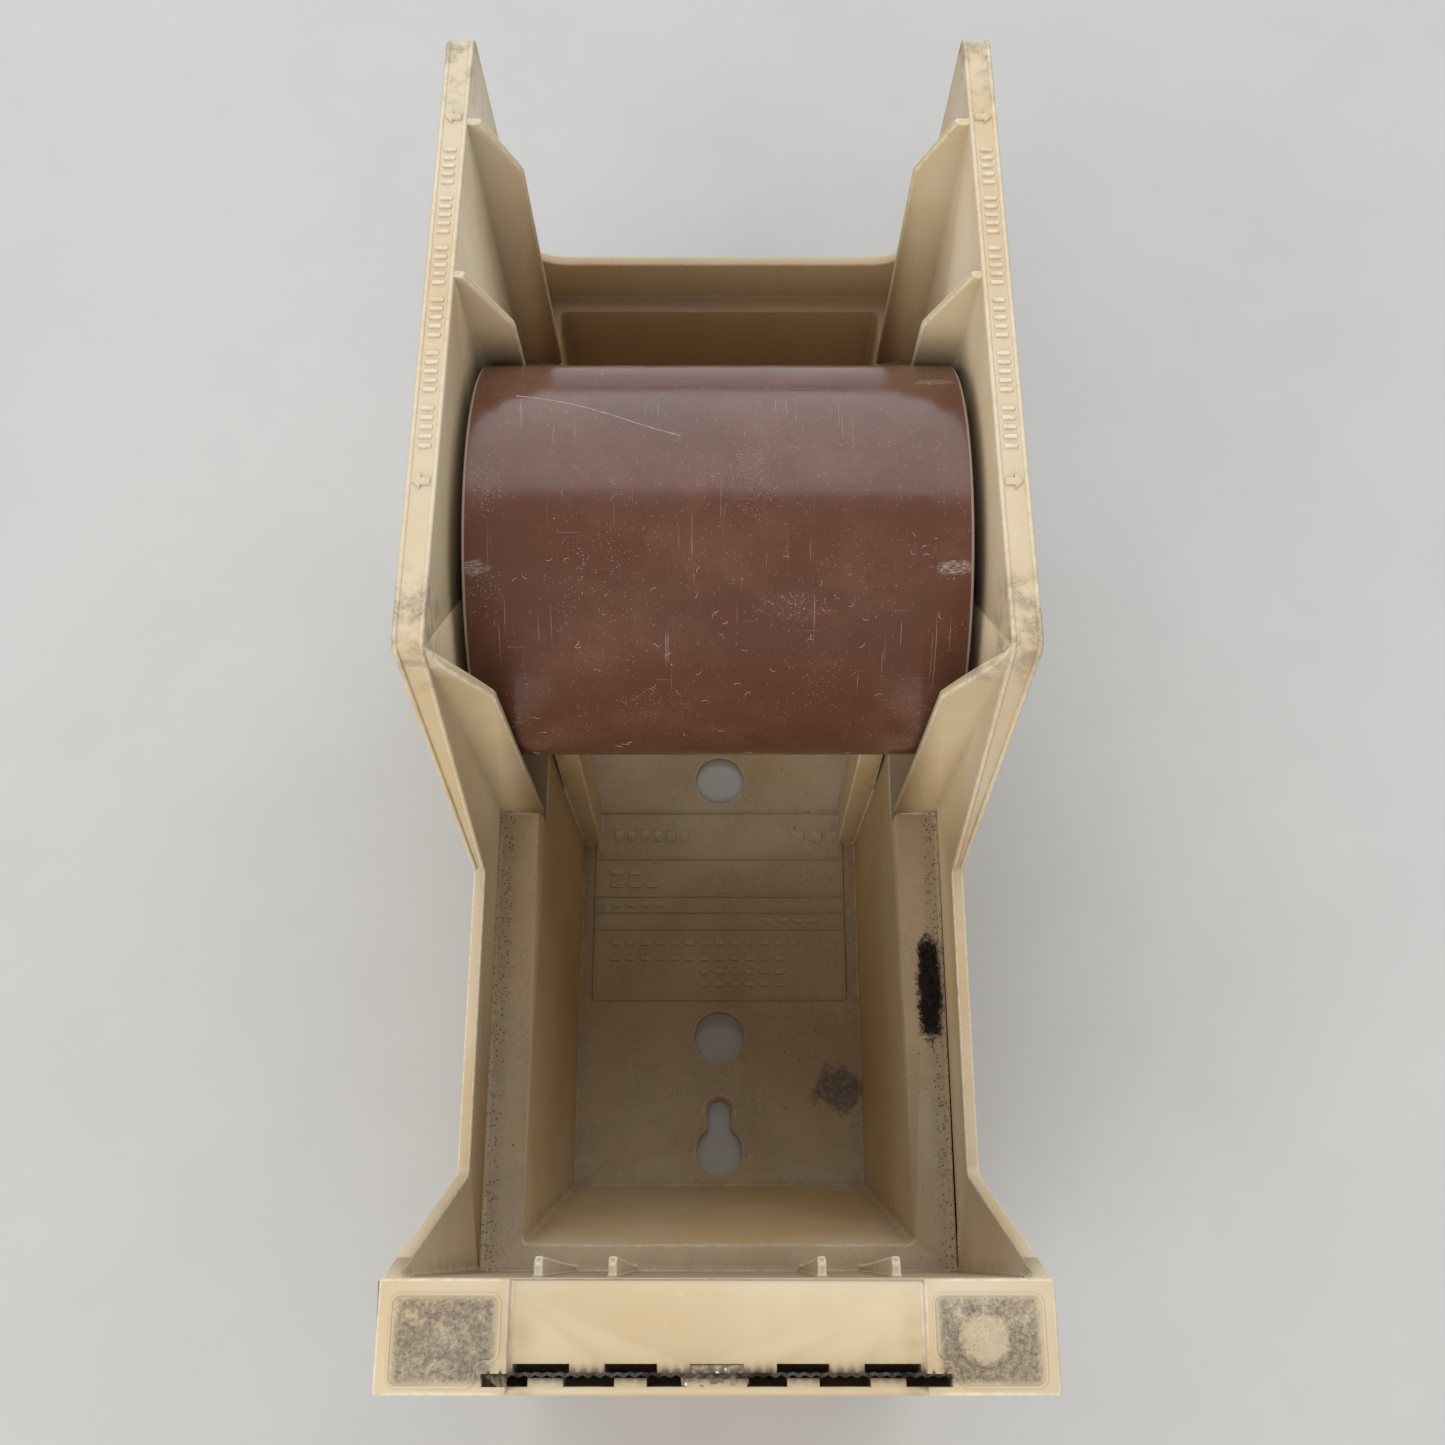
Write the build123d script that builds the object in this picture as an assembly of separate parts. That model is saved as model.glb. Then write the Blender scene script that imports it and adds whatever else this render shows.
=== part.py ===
from build123d import *
import math
import os

# Table-top tape dispenser: one moulded body, a drum that turns in its side walls, and a toothed blade.
# Frame, millimetres: +X to the right, +Y to the rear, +Z up. The origin is on the table, at the middle
# of the body's outer box.

# ---- Side walls -------------------------------------------------------------------------------------
wall = 2.4                  # thickness of the side walls and of the post's front wall
wall_lean = 1.0             # degrees that each side wall leans out as it rises
rim_half = 47.0             # inner face of a side wall, from the middle, at the height of the rim corner
rim_corner = (-11.0, 170.0)     # y, z of the rim's highest corner
rim_tip = (119.3, 163.0)        # y, z of the rim's rear tip
rear_edge_low = (122.0, 120.0)  # y, z where the rear edge starts to sweep in
neck_height = 100.0         # height of the low rim between the drum and the post
neck_rear = -29.0           # y where the neck ends below the rim corner
neck_front = -86.8          # y where the neck ends below the post
rim_width = 5.3             # width of the thickened rim along the top
rim_depth = 4.0             # how far the thickened rim reaches down the wall
corner_round = 2.5          # rounding of the outline's corners

# ---- Post at the front ------------------------------------------------------------------------------
post_height = 157.5         # height of the post's top, without its raised pads
post_rear = -106.2          # y of the post's rear face at its top
post_rear_foot = -103.3     # and at the ledge
post_front = -122.0         # y of the post's front face at its top
post_lean = 2.0             # degrees that the front face leans back as it falls
post_rear_wall = 2.0
deck = 2.2                  # thickness of the post's top
pad_inner = 30.1            # inner side of each thumb pad, from the middle
pad_rise = 1.0              # height of the thumb pads over the band between them
gusset_places = (16.2, 27.7)    # distance of the gussets behind the post from the middle
gusset_top = 144.0
gusset_reach = (1.1, 3.1)       # how far they stand out behind the post, at the ledge and at their top
gusset_thick = 1.4
gusset_chamfer = 1.2

# ---- Ledge, tub and floor ---------------------------------------------------------------------------
ledge_height = 84.0
ledge_thick = 2.5
ledge_cove = 2.0            # concave round where the ledge meets a side wall
tub_half_top = 37.4         # inner face of the tub, from the middle, at the ledge
tub_half_floor = 35.2       # the same at the floor
tub_front_top = -98.4       # y of the tub's inner front face at the ledge
tub_front_floor = -81.4     # and at the floor
tub_rear_top = 112.0
tub_rear_floor = 104.5
tub_wall = 2.4
tub_corner = 1.2
floor_thick = 2.5
rear_wall_inner = 116.3     # y of the low rear wall's inner face
rear_wall = 2.4
rear_wall_top = 96.0
rear_sweep = 11.0           # round at each end of the low rear wall's top

# ---- Ribs and pillars beside the drum ---------------------------------------------------------------
rib_thick = 1.5
rib_gap = 0.5               # clearance between the drum and the ribs
rib_bite = 3.0              # how far the rib behind the drum stands into its outline, relieved round it
rib_relief = 0.6            # clearance between that relief and the drum's ends
rear_rib = 97.5             # y of the rearmost rib's front face
rib_shoulder = (38.0, 150.5)    # distance from the middle and height of a rib's shoulder
rib_foot = 36.6             # distance of a rib's inner edge from the middle at the ledge
rib_drop = 0.6              # how far a rib's top stands below the rim
rib_round = 5.0
bay_gap = 10.6              # drop of the ledge under the drum
pillar_front = 5.0
pillar_length = 11.0
pillar_inner = 31.0
pillar_skin = 1.8

# ---- Openings in the floor --------------------------------------------------------------------------
screw_hole_r = 6.3
screw_hole_rear = 22.2
screw_hole_pitch = 67.7
keyhole_head_y = -73.0
keyhole_head_r = 5.55
keyhole_slot_r = 2.75
keyhole_slot_rise = 9.4     # from the head's centre to the slot's end centre
keyhole_bevel = 1.0

# ---- Drum -------------------------------------------------------------------------------------------
drum_axis = (27.3, 122.1)   # y, z
drum_r = 37.7
drum_length = 88.8
drum_skin = 2.4
drum_bar_count = 8          # moulded bars along the inside of the drum
drum_bar = (1.6, 3.0)       # their thickness and height
drum_ring_count = 3         # moulded rings round the inside of the drum
cap_thick = 2.5
cap_recess = 1.2            # how far each end disc sits inside the drum's end
hub_r = 9.0
hub_gap = 0.5               # clearance between a hub and the side wall
trunnion_r = 5.0
trunnion_clearance = 0.08
trunnion_end_gap = 0.3      # how far a trunnion stops short of the boss's outer face
boss_r = 9.5
boss_rise = 1.4             # height of the boss round a trunnion hole, outside the wall

# ---- Blade ------------------------------------------------------------------------------------------
blade_thick = 0.6
blade_length = 67.0
blade_height = 15.0
blade_rise = 1.3            # how far the tooth tips stand over the post's top
tooth_pitch = 1.675
tooth_depth = 1.2
blade_y = -119.7            # y of the blade's front face
slot_end_gap = 0.3
rear_reach = 1.3            # how far the windows open behind the blade
front_reach = 1.2           # and before it
rear_windows = ((0.0, 3.9), (12.4, 3.8), (25.3, 4.1))      # distance from the middle, half length
front_windows = ((7.2, 2.9), (18.4, 3.7), (30.4, 3.3))
window_depth = 7.0
bar_behind = 2.4            # thickness of the blade's holder behind the blade
bar_below = 2.3             # and under it

# ---- Worked out from the sizes above ----------------------------------------------------------------
lean_rate = math.tan(math.radians(wall_lean))
post_rate = math.tan(math.radians(post_lean))
drum_y, drum_z = drum_axis
front_rib = drum_y - drum_r - rib_gap - rib_thick     # front face of the rib before the drum
middle_rib = drum_y + drum_r - rib_bite               # front face of the rib behind the drum
bay_floor = min(ledge_height, drum_z - drum_r) - bay_gap
shelf = ledge_height - ledge_thick                    # underside of the ledge
skirt_foot = bay_floor - ledge_thick                  # lower edge of the side and rear walls
rear_wall_outer = rear_wall_inner + rear_wall
above = rim_corner[1] + 5.0                           # a height clear of everything
wide = rim_half + rim_width + 10.0                    # a distance clear of both sides


def inner_half(z):
    """Distance from the middle to a side wall's inner face at height z."""
    return rim_half - (rim_corner[1] - z) * lean_rate


def post_face(z):
    """y of the post's front face at height z."""
    return post_front + (post_height - z) * post_rate


def post_back(z):
    """y of the post's rear face at height z."""
    rate = (post_rear - post_rear_foot) / (post_height - ledge_height)
    return post_rear + (z - post_height) * rate


def across(points, x0, x1):
    """Solid with the outline points (y, z), from x0 to x1."""
    outline = make_face(Polyline(*points, close=True))
    return extrude(Plane.YZ.offset(x0) * outline, x1 - x0)


def along(points, y0, y1):
    """Solid with the outline points (x, z), from y0 to y1."""
    outline = make_face(Polyline(*points, close=True))
    return extrude(Plane.XZ.offset(-y0) * outline, -(y1 - y0))


def block(x0, x1, y0, y1, z0, z1):
    """Box between two corners."""
    centre = ((x0 + x1) / 2, (y0 + y1) / 2, (z0 + z1) / 2)
    return Pos(*centre) * Box(x1 - x0, y1 - y0, z1 - z0)


def both_sides(shape):
    """The shape and its mirror image in the middle plane."""
    return shape + mirror(shape, Plane.YZ)


def disc(r, x0, x1):
    """Cylinder about the drum's axis from x0 to x1."""
    centre = ((x0 + x1) / 2, drum_y, drum_z)
    return Pos(*centre) * Rot(0, 90, 0) * Cylinder(r, abs(x1 - x0))


def frustum(low, high):
    """Solid between two level rectangles (half width, y0, y1, z), with rounded upright edges."""
    ends = []
    for half, y0, y1, z in (low, high):
        flat = Rectangle(2 * half, y1 - y0)
        flat = fillet(flat.vertices(), tub_corner)
        ends.append(Pos(0, (y0 + y1) / 2, z) * flat)
    return loft(ends, ruled=True)


def side_outline():
    """Side view of the upper body: post, neck, rim corner, rear tip and low rear wall."""
    points = [
        (post_face(skirt_foot), skirt_foot),
        (post_front, post_height),
        (post_rear, post_height),
        (neck_front, neck_height),
        (neck_rear, neck_height),
        rim_corner,
        rim_tip,
        rear_edge_low,
        (rear_wall_outer, rear_wall_top + rear_sweep / 2),
        (rear_wall_outer, skirt_foot),
    ]
    outline = make_face(Polyline(*points, close=True))
    rounded = points[2:7]
    corners = [
        v for v in outline.vertices()
        if any(math.hypot(v.X - y, v.Y - z) < 0.01 for y, z in rounded)
    ]
    outline = fillet(corners, corner_round)
    return extrude(Plane.YZ.offset(-wide) * outline, 2 * wide)


def rim_strip(start, end, width_start, width_end):
    """Thickened rim on the right, between two (y, z) points of the side outline."""
    dy, dz = end[0] - start[0], end[1] - start[1]
    run = math.hypot(dy, dz)
    into = (0, dz / run, -dy / run)
    place = Plane(origin=(0, start[0], start[1]), x_dir=(1, 0, 0), z_dir=into)
    near, far = inner_half(start[1]), inner_half(end[1])
    outline = Polyline(
        (near, 0),
        (near + width_start, 0),
        (far + width_end, -run),
        (far, -run),
        close=True,
    )
    return extrude(place * make_face(outline), rim_depth)


def make_rib(y0):
    """Right-hand rib from the side wall towards the middle, with its front face at y0."""
    root = inner_half(above) + wall / 2
    top = rim_corner[1] - rib_drop
    points = [
        (root, top + 1.8),
        (inner_half(top), top),
        rib_shoulder,
        (rib_foot, shelf),
        (root - wall, shelf),
    ]
    outline = make_face(Polyline(*points, close=True))
    shoulder = outline.vertices().sort_by_distance((rib_shoulder[0], rib_shoulder[1], 0))[0]
    outline = fillet(shoulder, rib_round)
    return extrude(Plane.XZ.offset(-y0) * outline, -rib_thick)


def make_shell():
    """Side walls, post, ledge and low rear wall, before the tub is opened."""
    outer = along(
        [(-inner_half(skirt_foot) - wall, skirt_foot), (inner_half(skirt_foot) + wall, skirt_foot),
         (inner_half(above) + wall, above), (-inner_half(above) - wall, above)],
        post_front - 1, rim_tip[0] + 20,
    )
    profile = side_outline()
    shell = profile & outer
    rim = rim_strip((neck_rear, neck_height), rim_corner, wall, rim_width)
    rim += rim_strip(rim_corner, rim_tip, rim_width, rim_width)
    rim += rim_strip(rim_tip, rear_edge_low, rim_width, wall)
    shell += both_sides(rim & profile)
    room = frustum(
        (inner_half(ledge_height), post_back(ledge_height), rear_wall_inner, ledge_height),
        (inner_half(above), post_back(above), rear_wall_inner, above),
    )
    shell -= room
    half_low, half_high = inner_half(skirt_foot - 1), inner_half(shelf)
    shell -= along(
        [(-half_low, skirt_foot - 1), (half_low, skirt_foot - 1), (half_high, shelf), (-half_high, shelf)],
        tub_front_top - tub_wall, rear_wall_inner,
    )
    sweep = along(
        [(-inner_half(rear_wall_top), rear_wall_top), (inner_half(rear_wall_top), rear_wall_top),
         (inner_half(above), above), (-inner_half(above), above)],
        rear_wall_inner - tub_corner - 1, rim_tip[0] + 20,
    )
    low_edges = sweep.edges().filter_by(Axis.Y).group_by(Axis.Z)[0]
    shell -= fillet(low_edges, rear_sweep)
    relief_half = drum_length / 2 + rib_relief
    relief = disc(drum_r + rib_gap, -relief_half, relief_half)
    for y0 in (front_rib, middle_rib, rear_rib):
        shell += both_sides((make_rib(y0) & profile) - relief)
    return shell


def make_bay():
    """The lower step of the ledge under the drum: what it adds and what it takes away."""
    half_low, half_high = inner_half(skirt_foot), inner_half(ledge_height)
    y0, y1 = front_rib, middle_rib + rib_thick
    added = along(
        [(-half_low - wall, skirt_foot), (half_low + wall, skirt_foot),
         (half_high + wall, ledge_height), (-half_high - wall, ledge_height)],
        y0, y1,
    )
    half_floor = inner_half(bay_floor)
    taken = along(
        [(-half_floor, bay_floor), (half_floor, bay_floor),
         (half_high, ledge_height + 1), (-half_high, ledge_height + 1)],
        y0 + rib_thick, y1 - rib_thick,
    )
    return added, taken


def make_leg():
    """Post below the ledge, down to the table, as a solid block."""
    low_half = inner_half(0) + wall
    top = ledge_height
    outer = along(
        [(-low_half, 0), (low_half, 0), (inner_half(top) + wall, top), (-inner_half(top) - wall, top)],
        post_front - 1, tub_front_floor,
    )
    profile = across(
        [(post_face(0), 0), (tub_front_floor, 0), (tub_front_top, top), (post_face(top), top)],
        -wide, wide,
    )
    return outer & profile


def make_post_hollow():
    """Hollow of the post and leg, open at the table."""
    roof = post_height - deck
    outline = [
        (post_face(-1) + wall, -1),
        (tub_front_floor - tub_wall, -1),
        (tub_front_top - tub_wall, shelf),
        (post_back(shelf) - post_rear_wall, shelf),
        (post_back(roof) - post_rear_wall, roof),
        (post_face(roof) + wall, roof),
    ]
    half_low, half_high = inner_half(-1), inner_half(roof)
    inner = along(
        [(-half_low, -1), (half_low, -1), (half_high, roof), (-half_high, roof)],
        post_front, tub_front_floor,
    )
    return across(outline, -wide, wide) & inner


def make_pillars():
    """Hollow pillars between the tub's side walls and the drum, open below."""
    outer = tub_half_floor + tub_wall / 2
    solid = block(pillar_inner, outer, pillar_front, pillar_front + pillar_length, 0, bay_floor)
    hollow = block(
        pillar_inner + pillar_skin, outer - tub_wall / 2,
        pillar_front + pillar_skin, pillar_front + pillar_length - pillar_skin,
        -1, bay_floor - pillar_skin,
    )
    return both_sides(solid), both_sides(hollow)


def make_floor_openings():
    """Two screw holes and a keyhole, with bevelled upper edges on the keyhole."""
    cuts = Part()
    for y in (screw_hole_rear, screw_hole_rear - screw_hole_pitch):
        cuts += Pos(0, y, floor_thick / 2) * Cylinder(screw_hole_r, 3 * floor_thick)
    slot_y = keyhole_head_y + keyhole_slot_rise
    head = Pos(0, keyhole_head_y) * Circle(keyhole_head_r)
    slot = Pos(0, slot_y) * Circle(keyhole_slot_r)
    neck = Pos(0, (keyhole_head_y + slot_y) / 2) * Rectangle(2 * keyhole_slot_r, keyhole_slot_rise)
    keyhole = extrude(Pos(0, 0, -1) * (head + slot + neck), floor_thick + 2)
    bevel = Pos(0, slot_y, floor_thick - keyhole_bevel / 2) * Cone(
        keyhole_slot_r, keyhole_slot_r + keyhole_bevel, keyhole_bevel
    )
    return cuts + keyhole + bevel


def make_blade_holder():
    """Solid bar across the top of the post that the blade is pressed into."""
    foot = post_height + blade_rise - blade_height - bar_below
    outline = [
        (post_face(foot) + wall / 2, foot),
        (blade_y + blade_thick + bar_behind, foot),
        (blade_y + blade_thick + bar_behind, post_height - deck / 2),
        (post_front + wall / 2, post_height - deck / 2),
    ]
    half = inner_half(foot) + wall / 2
    return across(outline, -half, half)


def make_blade_slot():
    """Slit that grips the blade, with windows before and behind it in turn."""
    half = blade_length / 2 + slot_end_gap
    foot = post_height + blade_rise - blade_height
    low, high = post_height - window_depth, post_height + 1
    cuts = block(-half, half, blade_y, blade_y + blade_thick, foot, high)
    for centre, reach in rear_windows:
        for x in {centre, -centre}:
            cuts += block(x - reach, x + reach, blade_y, blade_y + blade_thick + rear_reach, low, high)
    for centre, reach in front_windows:
        for x in {centre, -centre}:
            cuts += block(x - reach, x + reach, blade_y - front_reach, blade_y + blade_thick, low, high)
    return cuts


def make_gussets():
    """Upright fins between the front ledge and the post's rear face."""
    fins = Part()
    for x in gusset_places:
        low, high = gusset_reach
        back = post_back(gusset_top)
        outline = [
            (post_rear_foot - 0.5, ledge_height - 0.5),
            (post_rear_foot + low, ledge_height - 0.5),
            (back + high, gusset_top - gusset_chamfer),
            (back + high - gusset_chamfer, gusset_top),
            (back - 0.5, gusset_top),
        ]
        fins += both_sides(across(outline, x - gusset_thick / 2, x + gusset_thick / 2))
    return fins


def make_coves():
    """Concave round along the foot of each side wall, before and behind the drum."""
    foot = inner_half(ledge_height)
    corner = Pos(foot - ledge_cove / 2 + 0.25, ledge_height + ledge_cove / 2 - 0.25)
    strip = corner * Rectangle(ledge_cove + 0.5, ledge_cove + 0.5)
    strip -= Pos(foot - ledge_cove, ledge_height + ledge_cove) * Circle(ledge_cove)
    strip -= Pos(foot - 2 * ledge_cove, ledge_height) * Rectangle(2 * ledge_cove, 4 * ledge_cove)
    coves = Part()
    for y0, y1 in ((post_rear_foot - 0.5, front_rib + 0.5), (middle_rib + 0.5, rear_wall_inner + 0.5)):
        coves += both_sides(extrude(Plane.XZ.offset(-y0) * strip, -(y1 - y0)))
    return coves


def make_body():
    """The one-piece moulded body."""
    body = make_shell()
    added, bay = make_bay()
    body += added
    body += make_leg()
    body += frustum(
        (tub_half_floor + tub_wall, tub_front_floor - tub_wall, tub_rear_floor + tub_wall, 0),
        (tub_half_top + tub_wall, tub_front_top - tub_wall, tub_rear_top + tub_wall, ledge_height),
    )
    body -= make_post_hollow()
    body -= bay
    body += make_coves()
    tub = frustum(
        (tub_half_floor, tub_front_floor, tub_rear_floor, floor_thick),
        (tub_half_top, tub_front_top, tub_rear_top, ledge_height + 0.01),
    )
    body -= tub
    pillars, pillar_hollows = make_pillars()
    body += pillars
    body -= pillar_hollows
    body += make_gussets()
    body += make_blade_holder()
    pads = along(
        [(pad_inner, post_height - 0.5), (inner_half(post_height) + wall, post_height - 0.5),
         (inner_half(post_height) + wall, post_height + pad_rise), (pad_inner, post_height + pad_rise)],
        post_front, post_rear,
    )
    body += both_sides(pads)
    body += both_sides(disc(boss_r, inner_half(drum_z) + wall / 2, inner_half(drum_z) + wall + boss_rise))
    body -= disc(trunnion_r + trunnion_clearance, -wide, wide)
    body -= make_blade_slot()
    body -= make_floor_openings()
    return body


def make_drum_shell():
    """The drum's tube, with moulded rings and bars inside."""
    half = drum_length / 2
    inner = drum_r - drum_skin
    shell = disc(drum_r, -half, half) - disc(inner, -half, half)
    bar_thick, bar_height = drum_bar
    free = half - cap_recess - cap_thick
    for index in range(drum_ring_count):
        x = (index - (drum_ring_count - 1) / 2) * free / drum_ring_count * 1.3
        ring = disc(inner + drum_skin / 2, x - bar_thick / 2, x + bar_thick / 2)
        shell += ring - disc(inner - bar_height, x - bar_thick, x + bar_thick)
    for index in range(drum_bar_count):
        bar = Pos(0, 0, inner - bar_height / 2 + drum_skin / 4) * Box(
            2 * free, bar_thick, bar_height + drum_skin / 2
        )
        shell += Pos(0, drum_y, drum_z) * Rot(index * 360 / drum_bar_count, 0, 0) * bar
    return shell


def make_drum_end(side):
    """End disc of the drum, with its hub and trunnion; side is 1 on the right, -1 on the left."""
    outer_face = drum_length / 2 - cap_recess
    wall_face = inner_half(drum_z - hub_r)
    end = disc(drum_r - drum_skin, side * (outer_face - cap_thick), side * outer_face)
    end += disc(hub_r, side * (outer_face - cap_thick), side * (wall_face - hub_gap))
    tip = inner_half(drum_z) + wall + boss_rise - trunnion_end_gap
    end += disc(trunnion_r, side * (outer_face - cap_thick), side * tip)
    return end


def make_blade():
    """Steel strip with a saw-tooth upper edge."""
    half = blade_length / 2
    top = post_height + blade_rise
    count = round(blade_length / tooth_pitch)
    step = blade_length / count
    points = [(-half, top - blade_height), (half, top - blade_height), (half, top - tooth_depth)]
    for index in range(count):
        right = half - index * step
        points.append((right - step / 2, top))
        points.append((right - step, top - tooth_depth))
    return along(points, blade_y, blade_y + blade_thick)


os.makedirs("parts", exist_ok=True)
pieces = {
    "body": make_body(),
    "drum_shell": make_drum_shell(),
    "drum_end_left": make_drum_end(-1),
    "drum_end_right": make_drum_end(1),
    "blade": make_blade(),
}
for name, piece in pieces.items():
    export_step(piece, f"parts/{name}.step")
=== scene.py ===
"""Looks of a table-top tape dispenser: a moulded body, a turning drum and a toothed blade.

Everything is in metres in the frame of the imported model: +X right, +Y to the rear, +Z up, with the
origin on the table. Sizes named in millimetres are multiplied by MM where they are used.
"""
import logging
import math
from dataclasses import dataclass
from enum import Enum

import bmesh
import bpy
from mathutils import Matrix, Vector, noise


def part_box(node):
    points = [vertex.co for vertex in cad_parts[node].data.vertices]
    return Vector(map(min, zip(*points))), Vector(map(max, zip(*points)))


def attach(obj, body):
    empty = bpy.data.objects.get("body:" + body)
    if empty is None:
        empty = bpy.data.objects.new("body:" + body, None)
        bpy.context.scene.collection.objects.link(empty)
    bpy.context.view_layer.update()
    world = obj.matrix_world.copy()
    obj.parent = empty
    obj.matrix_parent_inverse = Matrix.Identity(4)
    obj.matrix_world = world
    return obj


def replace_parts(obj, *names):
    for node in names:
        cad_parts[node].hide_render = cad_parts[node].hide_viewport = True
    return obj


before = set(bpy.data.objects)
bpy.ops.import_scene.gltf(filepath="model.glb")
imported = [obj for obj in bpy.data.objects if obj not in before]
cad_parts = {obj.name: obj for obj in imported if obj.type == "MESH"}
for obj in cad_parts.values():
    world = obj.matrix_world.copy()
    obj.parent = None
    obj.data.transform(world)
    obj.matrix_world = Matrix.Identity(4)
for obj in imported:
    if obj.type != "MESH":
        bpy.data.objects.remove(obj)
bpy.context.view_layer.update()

MM = 0.001
MEAN_NOISE = 0.5
# Face attribute for pale edge rubbing and painted highlight.
WEAR_AND_HIGHLIGHT = "edge_wear_and_highlight"
LOG = logging.getLogger("tape_dispenser")
Colour = tuple[float, float, float]
Point = tuple[float, float, float]
Patch = tuple[float, float, float, float, float]


class Body(str, Enum):
    """The bodies that a piece can ride on."""

    DISPENSER = "dispenser_body"
    DRUM = "drum"


class Slot(str, Enum):
    """The record's material slots."""

    BODY = "body_plastic"
    BLADE = "blade_steel"
    DRUM = "drum_plastic"


class Side(Enum):
    """The two sides of the dispenser."""

    LEFT = -1
    RIGHT = 1


@dataclass(frozen=True)
class Moulding:
    """Sizes of the moulded body that the added pieces sit on, in millimetres."""

    rim_half: float = 47.0
    rim_height: float = 170.0
    wall_lean: float = 1.0
    wall: float = 2.4
    rim_width: float = 5.3
    rim_corner: tuple[float, float] = (-11.0, 170.0)
    rim_tip: tuple[float, float] = (119.3, 163.0)
    neck_rear: tuple[float, float] = (-29.0, 100.0)
    rear_edge_low: tuple[float, float] = (122.0, 120.0)
    ledge_height: float = 84.0
    floor_top: float = 2.5
    pad_top: float = 158.5
    pad_inner: float = 31.4
    pad_outer: float = 47.2
    pad_front: float = -120.9
    pad_rear: float = -108.4
    thumb_x: float = 38.6
    thumb_y: float = -114.4
    ledge_outer: float = 45.5

    @property
    def pad_middle(self) -> tuple[float, float]:
        """Middle (x, y) of the right-hand thumb pad."""
        return (self.pad_inner + self.pad_outer) / 2, (self.pad_front + self.pad_rear) / 2

    @property
    def pad_half(self) -> tuple[float, float]:
        """Half the size (x, y) of a thumb pad."""
        return (self.pad_outer - self.pad_inner) / 2, (self.pad_rear - self.pad_front) / 2

    @property
    def rim_fall(self) -> float:
        """Slope of the rim's top, negative since it falls to the rear."""
        (y0, z0), (y1, z1) = self.rim_corner, self.rim_tip
        return (z1 - z0) / (y1 - y0)

    def inner_half(self, z: float) -> float:
        """Distance from the middle to a side wall's inner face at height z."""
        return self.rim_half - (self.rim_height - z) * math.tan(math.radians(self.wall_lean))

    def rim_z(self, y: float) -> float:
        """Height of the rim's top at y."""
        return self.rim_corner[1] + (y - self.rim_corner[0]) * self.rim_fall


MOULDING = Moulding()


# ---- Shader building ---------------------------------------------------------------------------------


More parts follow.
